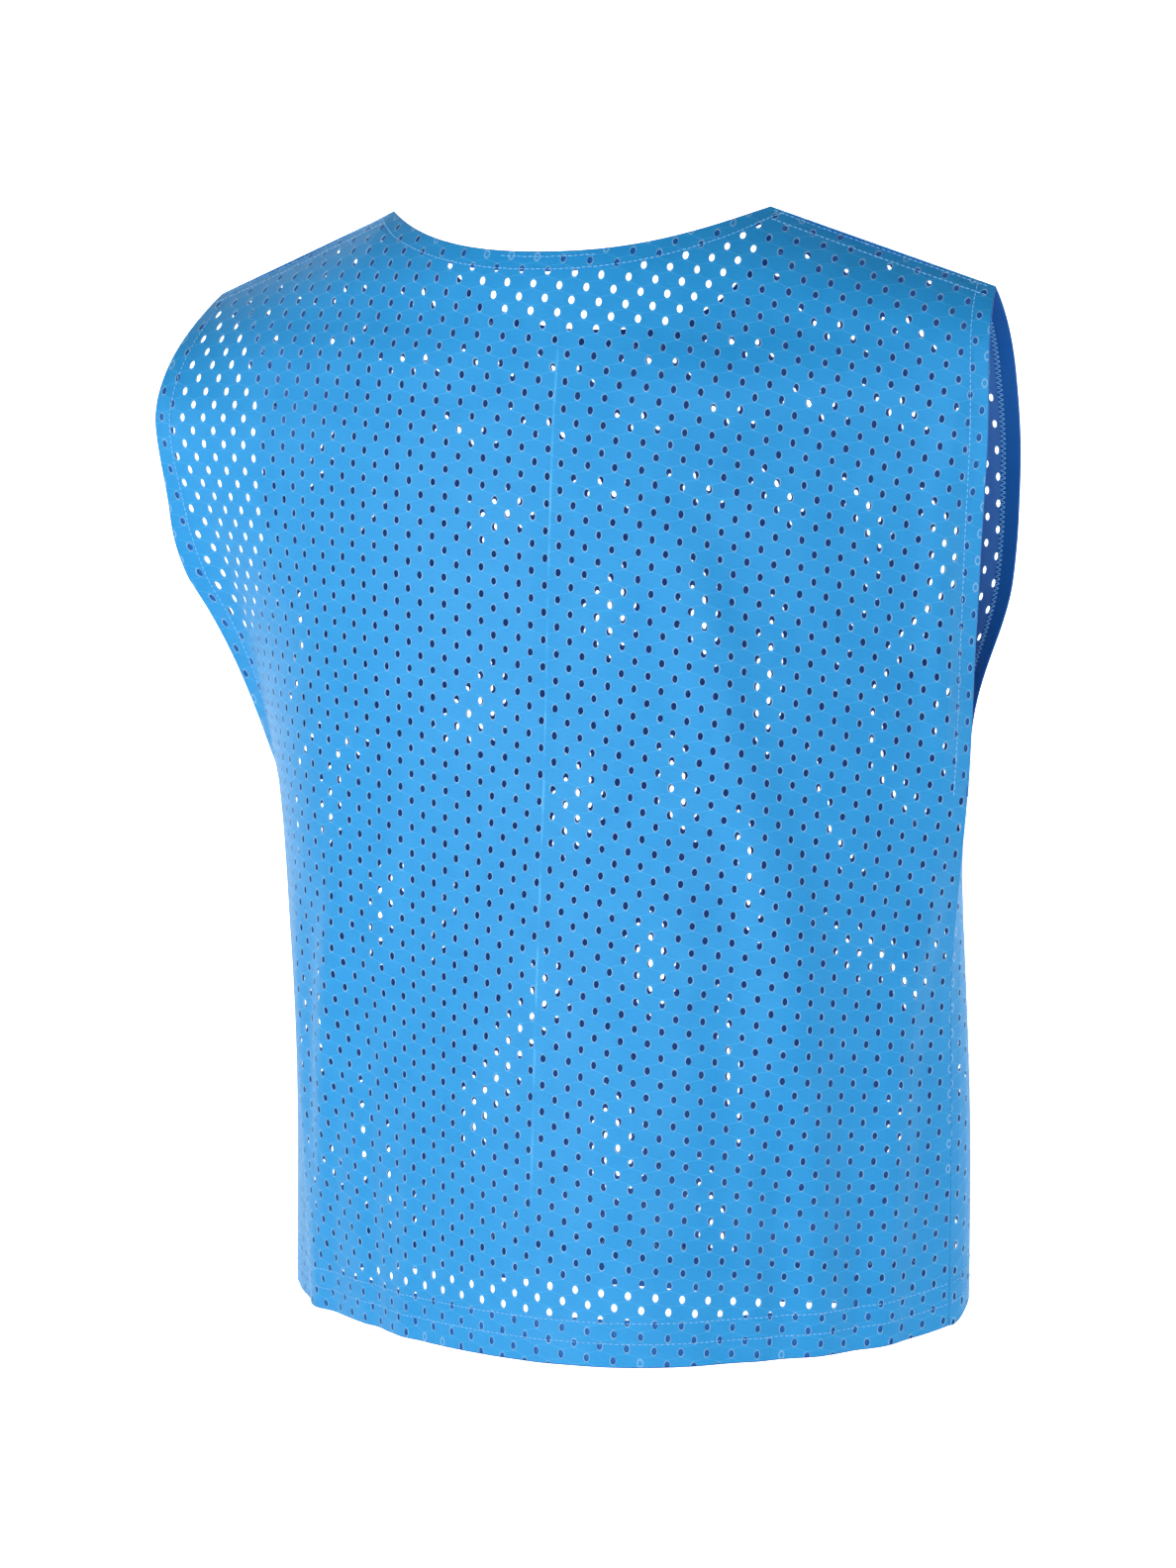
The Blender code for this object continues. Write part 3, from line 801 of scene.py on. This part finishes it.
def along(stretches, inset, depth, closed=True):
    """Points this far in from a border's edge and this far under the outer face, with outward
    directions. A closed border's last point isn't its first one again."""
    places, normals = [], []
    for name, flat, inward in stretches:
        panel = PANELS[name]
        at = flat + inward * max(inset, 0.0)
        normal = panel.normal(at[:, 0], at[:, 1])
        point = panel.at(at[:, 0], at[:, 1])
        if inset < 0:
            step = flat + inward * EDGE_STEP
            point = point + unit(panel.at(step[:, 0], step[:, 1]) - point) * inset
        places.append(point - normal * depth)
        normals.append(normal)
    joints = [(k, k + 1) for k in range(len(places) - 1)]
    if closed:
        joints.append((len(places) - 1, 0))
    for one, other in joints:
        for values in (places, normals):
            values[one][-1] = values[other][0] = (values[one][-1] + values[other][0]) / 2
    last = -1 if closed else None
    points = np.concatenate([v[:-1] for v in places[:-1]] + [places[-1][:last]])
    aims = np.concatenate([v[:-1] for v in normals[:-1]] + [normals[-1][:last]])
    return points, unit(aims)


def whole_line(stretches, inset, depth=0.0, closed=True):
    """The same, but a closed border has its first point again at the end."""
    points, normals = along(stretches, inset, depth, closed)
    if not closed:
        return points, normals
    return np.concatenate([points, points[:1]]), np.concatenate([normals, normals[:1]])


def turned_hem(name, stretches, width, material, closed=True):
    """A hem: the rounded fold at the edge and the strip turned in behind the panel."""
    radius = FOLD / 2
    turns = np.linspace(0, math.pi, FOLD_POINTS)
    profile = [(-radius * math.sin(a), radius - radius * math.cos(a)) for a in turns]
    profile += [(p, FOLD) for p in np.linspace(0, width, STRIP_POINTS)[1:]]
    profile += [(p, CLOTH + FOLD_GAP) for p in np.linspace(width, STRIP_END, STRIP_POINTS)]
    grid = np.stack([along(stretches, inset, depth, closed)[0] for inset, depth in profile], 1)
    count, sides = grid.shape[:2]
    steps = np.linalg.norm(np.diff(grid[:, 0], axis=0), axis=1)
    run = np.concatenate([[0], np.cumsum(steps)])
    run = np.append(run, run[-1] + steps.mean()) / (2 * HALF_PITCH)
    faces, values = [], []
    start, wide = STRIP_MAP
    for i in range(count if closed else count - 1):
        after = (i + 1) % count
        for k in range(sides):
            k2 = (k + 1) % sides
            faces.append((i * sides + k, after * sides + k, after * sides + k2, i * sides + k2))
            low, high = start + k * wide, start + (k + 1) * wide
            values += [(run[i], low), (run[i + 1], low), (run[i + 1], high), (run[i], high)]
    if not closed:
        faces.append(tuple(range(sides)))
        faces.append(tuple((count - 1) * sides + k for k in reversed(range(sides))))
        values += [(0.0, 0.0)] * (2 * sides)
    obj = add_mesh(name, grid.reshape(-1, 3), faces, material)
    set_map(obj, "net", values)
    return obj


def threads(name, starts, ends, normals, material, radius=THREAD):
    """Short rounded lengths of thread between these points."""
    middle, reach = (starts + ends) / 2, ends - starts
    side = unit(np.cross(reach, normals))
    up = unit(np.cross(side, reach))
    turn = 2 * math.pi * np.arange(THREAD_SIDES)[:, None] / THREAD_SIDES
    spread = side[:, None] * np.cos(turn) + up[:, None] * np.sin(turn)
    points = []
    for share, size in THREAD_RINGS:
        centre = middle + reach * share - up * radius * (THREAD_DIP * (2 * abs(share)) ** 3)
        points.append(centre[:, None] + spread * radius * size if size else centre[:, None])
    points = np.concatenate(points, 1)
    each, sides = points.shape[1], THREAD_SIDES
    faces = []
    for c in range(sides):
        d = (c + 1) % sides
        faces.append((0, 1 + d, 1 + c))
        faces.append((each - 1, each - 1 - sides + c, each - 1 - sides + d))
        for r in range(len(THREAD_RINGS) - 3):
            a = 1 + r * sides
            faces.append((a + c, a + d, a + sides + c))
            faces.append((a + d, a + sides + d, a + sides + c))
    every = np.array(faces)[None] + (np.arange(len(starts)) * each)[:, None, None]
    return add_mesh(name, points.reshape(-1, 3), every.reshape(-1, 3), material, THREAD_ANGLE)


def run_along(points):
    """Length of a line up to each of its points."""
    return np.concatenate([[0], np.cumsum(np.linalg.norm(np.diff(points, axis=0), axis=1))])


def read(values, run, at):
    """Values along a line at these lengths."""
    return np.stack([np.interp(at, run, values[:, k]) for k in range(3)], -1)


def row_of_stitches(name, line, material, seed):
    """A row of stitches along a line of points with outward directions."""
    points, normals = line
    run = run_along(points)
    rng = np.random.default_rng(seed)
    start = np.arange(STITCH_PITCH * FIRST_STITCH, run[-1] - STITCH_LENGTH, STITCH_PITCH)
    start = start + rng.normal(0, STITCH_PITCH * START_SPREAD, len(start))
    stop = start + STITCH_LENGTH * (1 + rng.normal(0, LENGTH_SPREAD, len(start)))
    sway = rng.normal(0, SWAY, (2, len(start), 1))
    aim = unit(read(normals, run, start))
    first, last = read(points, run, start), read(points, run, stop)
    aside = unit(np.cross(last - first, aim))
    lift = aim * THREAD * STITCH_PROUD
    first, last = first + lift + aside * sway[0], last + lift + aside * sway[1]
    return threads(name, first, last, aim, material)


def overlock(name, stretches, width, material, closed=True):
    """The zigzag of thread that binds a hem's raw edge, on the inside."""
    depth = FOLD + THREAD * 0.5
    within, past = OVERLOCK_REACH
    inside, normals = whole_line(stretches, width - OVERLOCK_WIDTH * within, depth, closed)
    beyond, _ = whole_line(stretches, width + OVERLOCK_WIDTH * past, depth, closed)
    run = run_along(inside)
    steps = np.arange(OVERLOCK_START, run[-1] - OVERLOCK_PITCH, OVERLOCK_PITCH)
    low = read(inside, run, steps)
    high = read(beyond, run, steps + OVERLOCK_PITCH * OVERLOCK_TURNS[0])
    after = read(inside, run, steps + OVERLOCK_PITCH * OVERLOCK_TURNS[1])
    aims = read(normals, run, steps)
    starts, ends = np.concatenate([low, high]), np.concatenate([high, after])
    aims = -unit(np.concatenate([aims, aims]))
    return threads(name, starts, ends, aims, material, THREAD * OVERLOCK_THREAD)


# Looks: the cloth's colour and that of its raised lines, outside, inside and on the turned hems. Inside and on the
# turned hems the colours are darker: painted shade of the hollow inside and of the hem's fold.
OUTSIDE = ((0.004, 0.240, 0.590), (0.080, 0.440, 0.830))
# The inner face's colours are darker than the outside's: painted shade.
INSIDE = ((0.052, 0.185, 0.540), (0.080, 0.255, 0.640))
# The turned hems' colours are darker still: painted shade inside the fold, seen through the holes.
TURNED_SHADED = ((0.004, 0.100, 0.390), (0.020, 0.170, 0.520))
THREAD_COLOUR = (0.210, 0.520, 0.880)
THREAD_ROUGHNESS = 0.5
CLOTH_FINISH = {
    "Roughness": 0.52,
    "Specular IOR Level": 0.36,
    "Specular Tint": (0.75, 0.95, 1.0, 1.0),
    "Sheen Weight": 0.06,
    "Sheen Roughness": 0.45,
    "Sheen Tint": (0.30, 0.65, 1.0, 1.0),
}
BUMP = {"Strength": 0.35, "Distance": 0.0003}
# Noise over the net: scale and detail of the fine specks and of the broad wear.
SPECK, WEAR = (26.0, 3.0), (0.55, 2.0)
# A hole's half width and half height, as shares of the pitch; where its pale rim starts and ends,
# in half sizes; and the raised line between holes: how far from their row, how steep, how wide.
HOLE_SHARE = (0.103, 0.147)
RIM = (0.98, 1.30)
RIM_COLOUR = (0.290, 0.490, 0.700)
LINE = (0.185, 0.26, 0.026)
# The pressed line down the back, a low ridge with a painted highlight along it: column; half width, half length and
# how fast its ends fade; the wear below which it breaks off, how fast, and what is left of it there.
PRESSED_COLUMN = 1.15
PRESSED = (0.060, 18.0, 4.0)
BREAKS = (0.40, 6.0, 0.1)
# What each adds to the pale share of the colour, and to the height. Along the pressed line the pale share is a painted
# highlight.
PALE = {"speck": 0.30, "line": 0.34, "wear": 0.22, "pressed_with_highlight": 0.75, "rim": 0.80}
HEIGHT = {"rib": 0.12, "speck": 0.5, "line": 0.7, "rim": 1.0, "pressed_with_highlight": 2.0}
RIBS = 14


def set_inputs(node, values):
    """Sets a node's inputs, by name."""
    for socket, value in values.items():
        node.inputs[socket].default_value = value


def noise_node(tree, where, scale, detail):
    """Noise over these places."""
    node = tree.nodes.new("ShaderNodeTexNoise")
    set_inputs(node, {"Scale": scale, "Detail": detail})
    tree.links.new(where, node.inputs["Vector"])
    return node.outputs[0]


def mix_node(tree, share, first, second):
    """Colour between a first one (a colour or another node's output) and a second colour."""
    node = tree.nodes.new("ShaderNodeMix")
    node.data_type = "RGBA"
    factor, start, end, result = node.inputs[0], node.inputs[6], node.inputs[7], node.outputs[2]
    if isinstance(first, tuple):
        start.default_value = (*first, 1.0)
    else:
        tree.links.new(first, start)
    end.default_value = (*second, 1.0)
    tree.links.new(share, factor)
    return result


def cloth_look(name, colours, pressed_column=None, plain=False):
    """Knit cloth: a fine rib and, like a honeycomb, raised lines between the ends of the holes. A pressed line, a low
    ridge with a painted highlight along it, may run down a column of the net. Plain cloth has no holes."""
    material = bpy.data.materials.new(name)
    material.use_nodes = True
    tree = material.node_tree
    shader = tree.nodes["Principled BSDF"]
    set_inputs(shader, CLOTH_FINISH)
    where = tree.nodes.new("ShaderNodeUVMap")
    where.uv_map = "net"
    split = tree.nodes.new("ShaderNodeSeparateXYZ")
    tree.links.new(where.outputs[0], split.inputs[0])
    column, row = split.outputs[0], split.outputs[1]

    def do(operation, *inputs):
        """A Math node with these inputs, each a number or another node's output."""
        node = tree.nodes.new("ShaderNodeMath")
        node.operation = operation
        for k, x in enumerate(inputs):
            if isinstance(x, (int, float)):
                node.inputs[k].default_value = x
            else:
                tree.links.new(x, node.inputs[k])
        return node.outputs[0]

    def fall(distance, reach):
        """1 where distance is 0 and 0 from reach on."""
        return do("MAXIMUM", do("SUBTRACT", 1.0, do("DIVIDE", distance, reach)), 0.0)

    def from_hole(over, rise):
        """Distance from a hole's centre, in its half sizes."""
        wide, high = do("DIVIDE", over, HOLE_SHARE[0]), do("DIVIDE", rise, HOLE_SHARE[1])
        return do("SQRT", do("ADD", do("MULTIPLY", wide, wide), do("MULTIPLY", high, high)))

    def add(total, amount, weight):
        return do("ADD", total, do("MULTIPLY", amount, weight))

    over, rise = do("PINGPONG", column, 0.5), do("PINGPONG", row, 0.5)
    speck = noise_node(tree, where.outputs[0], *SPECK)
    wear = noise_node(tree, where.outputs[0], *WEAR)
    share = do("MULTIPLY", speck, PALE["speck"])
    rib = do("SINE", do("MULTIPLY", column, 2 * math.pi * RIBS))
    height = add(do("MULTIPLY", rib, HEIGHT["rib"]), speck, HEIGHT["speck"])
    if not plain:
        line = do("SUBTRACT", do("SUBTRACT", rise, LINE[0]), do("MULTIPLY", over, LINE[1]))
        ridge = fall(do("ABSOLUTE", line), LINE[2])
        other = from_hole(do("SUBTRACT", 0.5, over), do("SUBTRACT", 0.5, rise))
        off = do("MINIMUM", from_hole(over, rise), other)
        rim = fall(do("ABSOLUTE", do("SUBTRACT", off, RIM[0])), RIM[1] - RIM[0])
        share = add(share, ridge, PALE["line"])
        height = add(add(height, ridge, HEIGHT["line"]), rim, HEIGHT["rim"])
    share = add(share, do("SUBTRACT", wear, 0.5), PALE["wear"])
    # The pressed line: a low ridge in the bump and a pale painted highlight in the colour.
    if pressed_column is not None:
        half_width, half_length, end_fade = PRESSED
        worn_off, break_fade, least = BREAKS
        pressed_with_highlight = fall(do("ABSOLUTE", do("SUBTRACT", column, pressed_column)), half_width)
        ends = do("MINIMUM", do("MULTIPLY", fall(do("ABSOLUTE", row), half_length), end_fade), 1.0)
        gaps = do("MULTIPLY", do("SUBTRACT", wear, worn_off), break_fade)
        gaps = do("MINIMUM", do("MAXIMUM", gaps, least), 1.0)
        pressed_with_highlight = do("MULTIPLY", pressed_with_highlight, do("MULTIPLY", ends, gaps))
        # Painted highlight along the pressed ridge.
        share = add(share, pressed_with_highlight, PALE["pressed_with_highlight"])
        height = add(height, pressed_with_highlight, HEIGHT["pressed_with_highlight"])
    colour = mix_node(tree, share, *colours)
    if not plain:
        colour = mix_node(tree, do("MULTIPLY", rim, PALE["rim"]), colour, RIM_COLOUR)
    tree.links.new(colour, shader.inputs["Base Color"])
    bump = tree.nodes.new("ShaderNodeBump")
    set_inputs(bump, BUMP)
    tree.links.new(height, bump.inputs["Height"])
    tree.links.new(bump.outputs[0], shader.inputs["Normal"])
    return material


def plain_look(name, colour, roughness):
    """A plain material."""
    material = bpy.data.materials.new(name)
    material.use_nodes = True
    shader = material.node_tree.nodes["Principled BSDF"]
    set_inputs(shader, {"Base Color": (*colour, 1.0), "Roughness": roughness})
    return material


def keep(obj, slot, *nodes):
    """obj rides on the bib, takes this slot's finish and stands for these nodes."""
    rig.ride(obj, "root")
    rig.slot(obj, slot)
    if nodes:
        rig.replaces(obj, *nodes)
    return obj


back_look = cloth_look("back_mesh_cloth", OUTSIDE, PRESSED_COLUMN)
front_look = cloth_look("front_mesh_cloth", OUTSIDE)
# The inner face and the turned hems take darker copies of the cloth: painted shade.
shaded_inside_look = cloth_look("mesh_cloth_inside_shaded", INSIDE)
shaded_hem_look = cloth_look("hem_cloth", TURNED_SHADED, plain=True)
thread_look = plain_look("thread", THREAD_COLOUR, THREAD_ROUGHNESS)


def stitched(name, line, slot, seed, k=0):
    """A kept row of stitches, the k-th with this seed."""
    return keep(row_of_stitches(name, line, thread_look, ROW_SEEDS[seed] + k), slot)


back = keep(perforated("back", back_look, shaded_inside_look), "back_mesh", "back_panel")
front = keep(perforated("front", front_look, shaded_inside_look), "front_mesh", "front_panel")

neck, bottom = neck_border(), bottom_border()
armholes = {"left": armhole_border(1), "right": armhole_border(-1)}
neck_hem = keep(turned_hem("neck_hem_cloth", neck, NECK_HEM, shaded_hem_look), "hem_neck", "neck_hem")
bottom_hem = turned_hem("bottom_hem_cloth", bottom, BOTTOM_HEM, shaded_hem_look)
bottom_hem = keep(bottom_hem, "hem_bottom", "bottom_hem")
armhole_hems = {}
for side, border in armholes.items():
    hem = turned_hem("armhole_hem_cloth_" + side, border, ARMHOLE_HEM, shaded_hem_look, closed=False)
    armhole_hems[side] = keep(hem, "hem_armhole_" + side, "armhole_hem_" + side)

with_neck = [
    stitched("neck_stitches", whole_line(neck, NECK_ROW), "hem_neck", "neck"),
    keep(overlock("neck_overlock", neck, NECK_HEM, thread_look), "hem_neck"),
]
with_bottom = [keep(overlock("bottom_overlock", bottom, BOTTOM_HEM, thread_look), "hem_bottom")]
for k, inset in enumerate(BOTTOM_ROWS):
    row_name, line = "bottom_stitches_" + str(k + 1), whole_line(bottom, inset)
    with_bottom.append(stitched(row_name, line, "hem_bottom", "bottom", k))
with_armholes = {}
for side, border in armholes.items():
    slot = "hem_armhole_" + side
    line = whole_line(border, ARMHOLE_ROW, closed=False)
    row = stitched("armhole_stitches_" + side, line, slot, side)
    bound = overlock("armhole_overlock_" + side, border, ARMHOLE_HEM, thread_look, closed=False)
    with_armholes[side] = [row, keep(bound, slot)]


def line_on_back(across, up):
    """A line on the back panel, with outward directions."""
    return PANELS["back"].at(across, up), PANELS["back"].normal(across, up)


with_back = []
for side, name in ((1, "left"), (-1, "right")):
    ends = NECK_HALF_WIDTH + WIDE_STEP, SHOULDER_HALF_WIDTH - WIDE_STEP
    across = side * np.linspace(*ends, ROW_POINTS["shoulder"])
    for k, below in enumerate(SHOULDER_ROWS):
        line = line_on_back(across, shoulder_up(across) - below)
        row_name = "shoulder_stitches_" + name + "_" + str(k + 1)
        with_back.append(stitched(row_name, line, "back_mesh", "shoulder", k))
across = np.linspace(SHORT_ROW[0], SHORT_ROW[1], ROW_POINTS["short"])
line = line_on_back(across, top_up("back", across) - SHORT_ROW[2])
with_back.append(stitched("short_row_stitches", line, "back_mesh", "short"))


def outline_area(name):
    """Flat area inside a panel's outline."""
    sides = [outline_edge(name, -1)[::-1], outline_edge(name, 1), outline_top(name)]
    x, y = np.concatenate(sides).T
    return abs(np.dot(x, np.roll(y, -1)) - np.dot(y, np.roll(x, -1))) / 2


# A panel is cut with what its side seams take up; its area is what shows of it.
flat = (2 * HALF_WIDTH + 2 * SEAM_ALLOWANCE, LENGTH)
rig.sheet(back, flat=flat, held="hung", area=outline_area("back"), with_pieces=with_back)
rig.sheet(front, flat=flat, held="hung", area=outline_area("front"))
flat = (border_length(neck), NECK_HEM + FOLD)
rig.sheet(neck_hem, flat=flat, held="stretched", with_pieces=with_neck)
flat = (border_length(bottom), BOTTOM_HEM + FOLD)
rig.sheet(bottom_hem, flat=flat, held="hung", with_pieces=with_bottom)
for side, hem in armhole_hems.items():
    flat = (border_length(armholes[side]), ARMHOLE_HEM + FOLD)
    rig.sheet(hem, flat=flat, held="hung", with_pieces=with_armholes[side])

# Studio: a round pale floor that curves up into a wall and glows by its place along Y.
FLOOR, FLAT_FLOOR, ROOM, SWEEP, WALL_TOP = -0.95, 2.0, 5.0, 0.9, 2.6
FLOOR_CENTRE = 0.001
ROOM_SIDES, SWEEP_POINTS = 48, 9
GLOW = {"From Min": 0.3, "From Max": -0.9, "To Min": 0.12, "To Max": 1.00}
PALE_WALL, WALL_ROUGHNESS = (0.90, 0.90, 0.90), 0.95
WHITE = (1.0, 1.0, 1.0, 1.0)
WORLD_LIGHT = 0.14
LAMPS = (
    # name, place, aim, side (m), power (W)
    ("key", (1.45, 2.65, -0.80), (0, 0, -0.42), 1.0, 57),
    ("fill", (-1.15, 2.80, -0.80), (0, 0, -0.50), 1.2, 45),
)
turns = np.linspace(0, math.pi / 2, SWEEP_POINTS)
inner, lifted = ROOM - SWEEP, FLOOR + SWEEP
profile = [(FLOOR_CENTRE, FLOOR), (FLAT_FLOOR, FLOOR)]
profile += [(inner + SWEEP * math.sin(t), lifted - SWEEP * math.cos(t)) for t in turns]
profile += [(ROOM, WALL_TOP)]
turns = 2 * math.pi * np.arange(ROOM_SIDES) / ROOM_SIDES
points = [(r * math.cos(t), r * math.sin(t), z) for r, z in profile for t in turns]
faces = []
for k in range(len(profile) - 1):
    low, high = k * ROOM_SIDES, (k + 1) * ROOM_SIDES
    for i in range(ROOM_SIDES):
        j = (i + 1) % ROOM_SIDES
        faces.append((low + i, high + i, high + j, low + j))
mesh = bpy.data.meshes.new("backdrop")
mesh.from_pydata(points, [], faces)
mesh.shade_smooth()
pale = plain_look("backdrop_white", PALE_WALL, WALL_ROUGHNESS)
tree = pale.node_tree
shader = tree.nodes["Principled BSDF"]
shader.inputs["Emission Color"].default_value = WHITE
spot = tree.nodes.new("ShaderNodeNewGeometry")
apart = tree.nodes.new("ShaderNodeSeparateXYZ")
tree.links.new(spot.outputs["Position"], apart.inputs[0])
glow = tree.nodes.new("ShaderNodeMapRange")
set_inputs(glow, GLOW)
tree.links.new(apart.outputs[1], glow.inputs[0])
tree.links.new(glow.outputs[0], shader.inputs["Emission Strength"])
pale.cycles.emission_sampling = "NONE"
mesh.materials.append(pale)
backdrop = bpy.data.objects.new("backdrop", mesh)
scene.collection.objects.link(backdrop)
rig.stage(backdrop)

world = bpy.data.worlds.new("studio")
scene.world = world
world.use_nodes = True
set_inputs(world.node_tree.nodes["Background"], {"Color": WHITE, "Strength": WORLD_LIGHT})
scene.view_settings.view_transform = "Standard"


def area_light(name, place, aim, size, power):
    """A square light that shines at a point and isn't seen itself."""
    data = bpy.data.lights.new(name, "AREA")
    data.shape = "SQUARE"
    data.size = size
    data.energy = power
    light = bpy.data.objects.new(name, data)
    light.location = place
    light.rotation_mode = "QUATERNION"
    light.rotation_quaternion = (Vector(aim) - Vector(place)).to_track_quat("-Z", "Y")
    light.visible_camera = False
    scene.collection.objects.link(light)


for lamp in LAMPS:
    area_light(*lamp)

# Camera: behind the bib and a little to the wearer's right, looking slightly down.
AZIMUTH, PITCH = math.radians(18.77), math.radians(5.01)
DISTANCE, EYE = 2.394, -0.122
FOCAL_PIXELS, CENTRE_PIXELS, PHOTO = 4235.0, 584.6, (1188, 1584)
data = bpy.data.cameras.new("camera")
data.sensor_width = 36.0
data.lens = FOCAL_PIXELS / PHOTO[1] * data.sensor_width
data.shift_x = (PHOTO[0] / 2 - CENTRE_PIXELS) / PHOTO[1]
data.clip_start, data.clip_end = 0.05, 100.0
camera = bpy.data.objects.new("camera", data)
sin, cos = math.sin(AZIMUTH), math.cos(AZIMUTH)
camera.location = (-DISTANCE * sin, DISTANCE * cos, EYE)
forward = Vector((sin * math.cos(PITCH), -cos * math.cos(PITCH), -math.sin(PITCH)))
camera.rotation_mode = "QUATERNION"
camera.rotation_quaternion = forward.to_track_quat("-Z", "Y")
scene.collection.objects.link(camera)
scene.camera = camera

size_after = [list(corner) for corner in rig.bounds()]
with open("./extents.json", "w") as out:
    json.dump({"after_load": size_before, "before_finish": size_after}, out, indent=1)
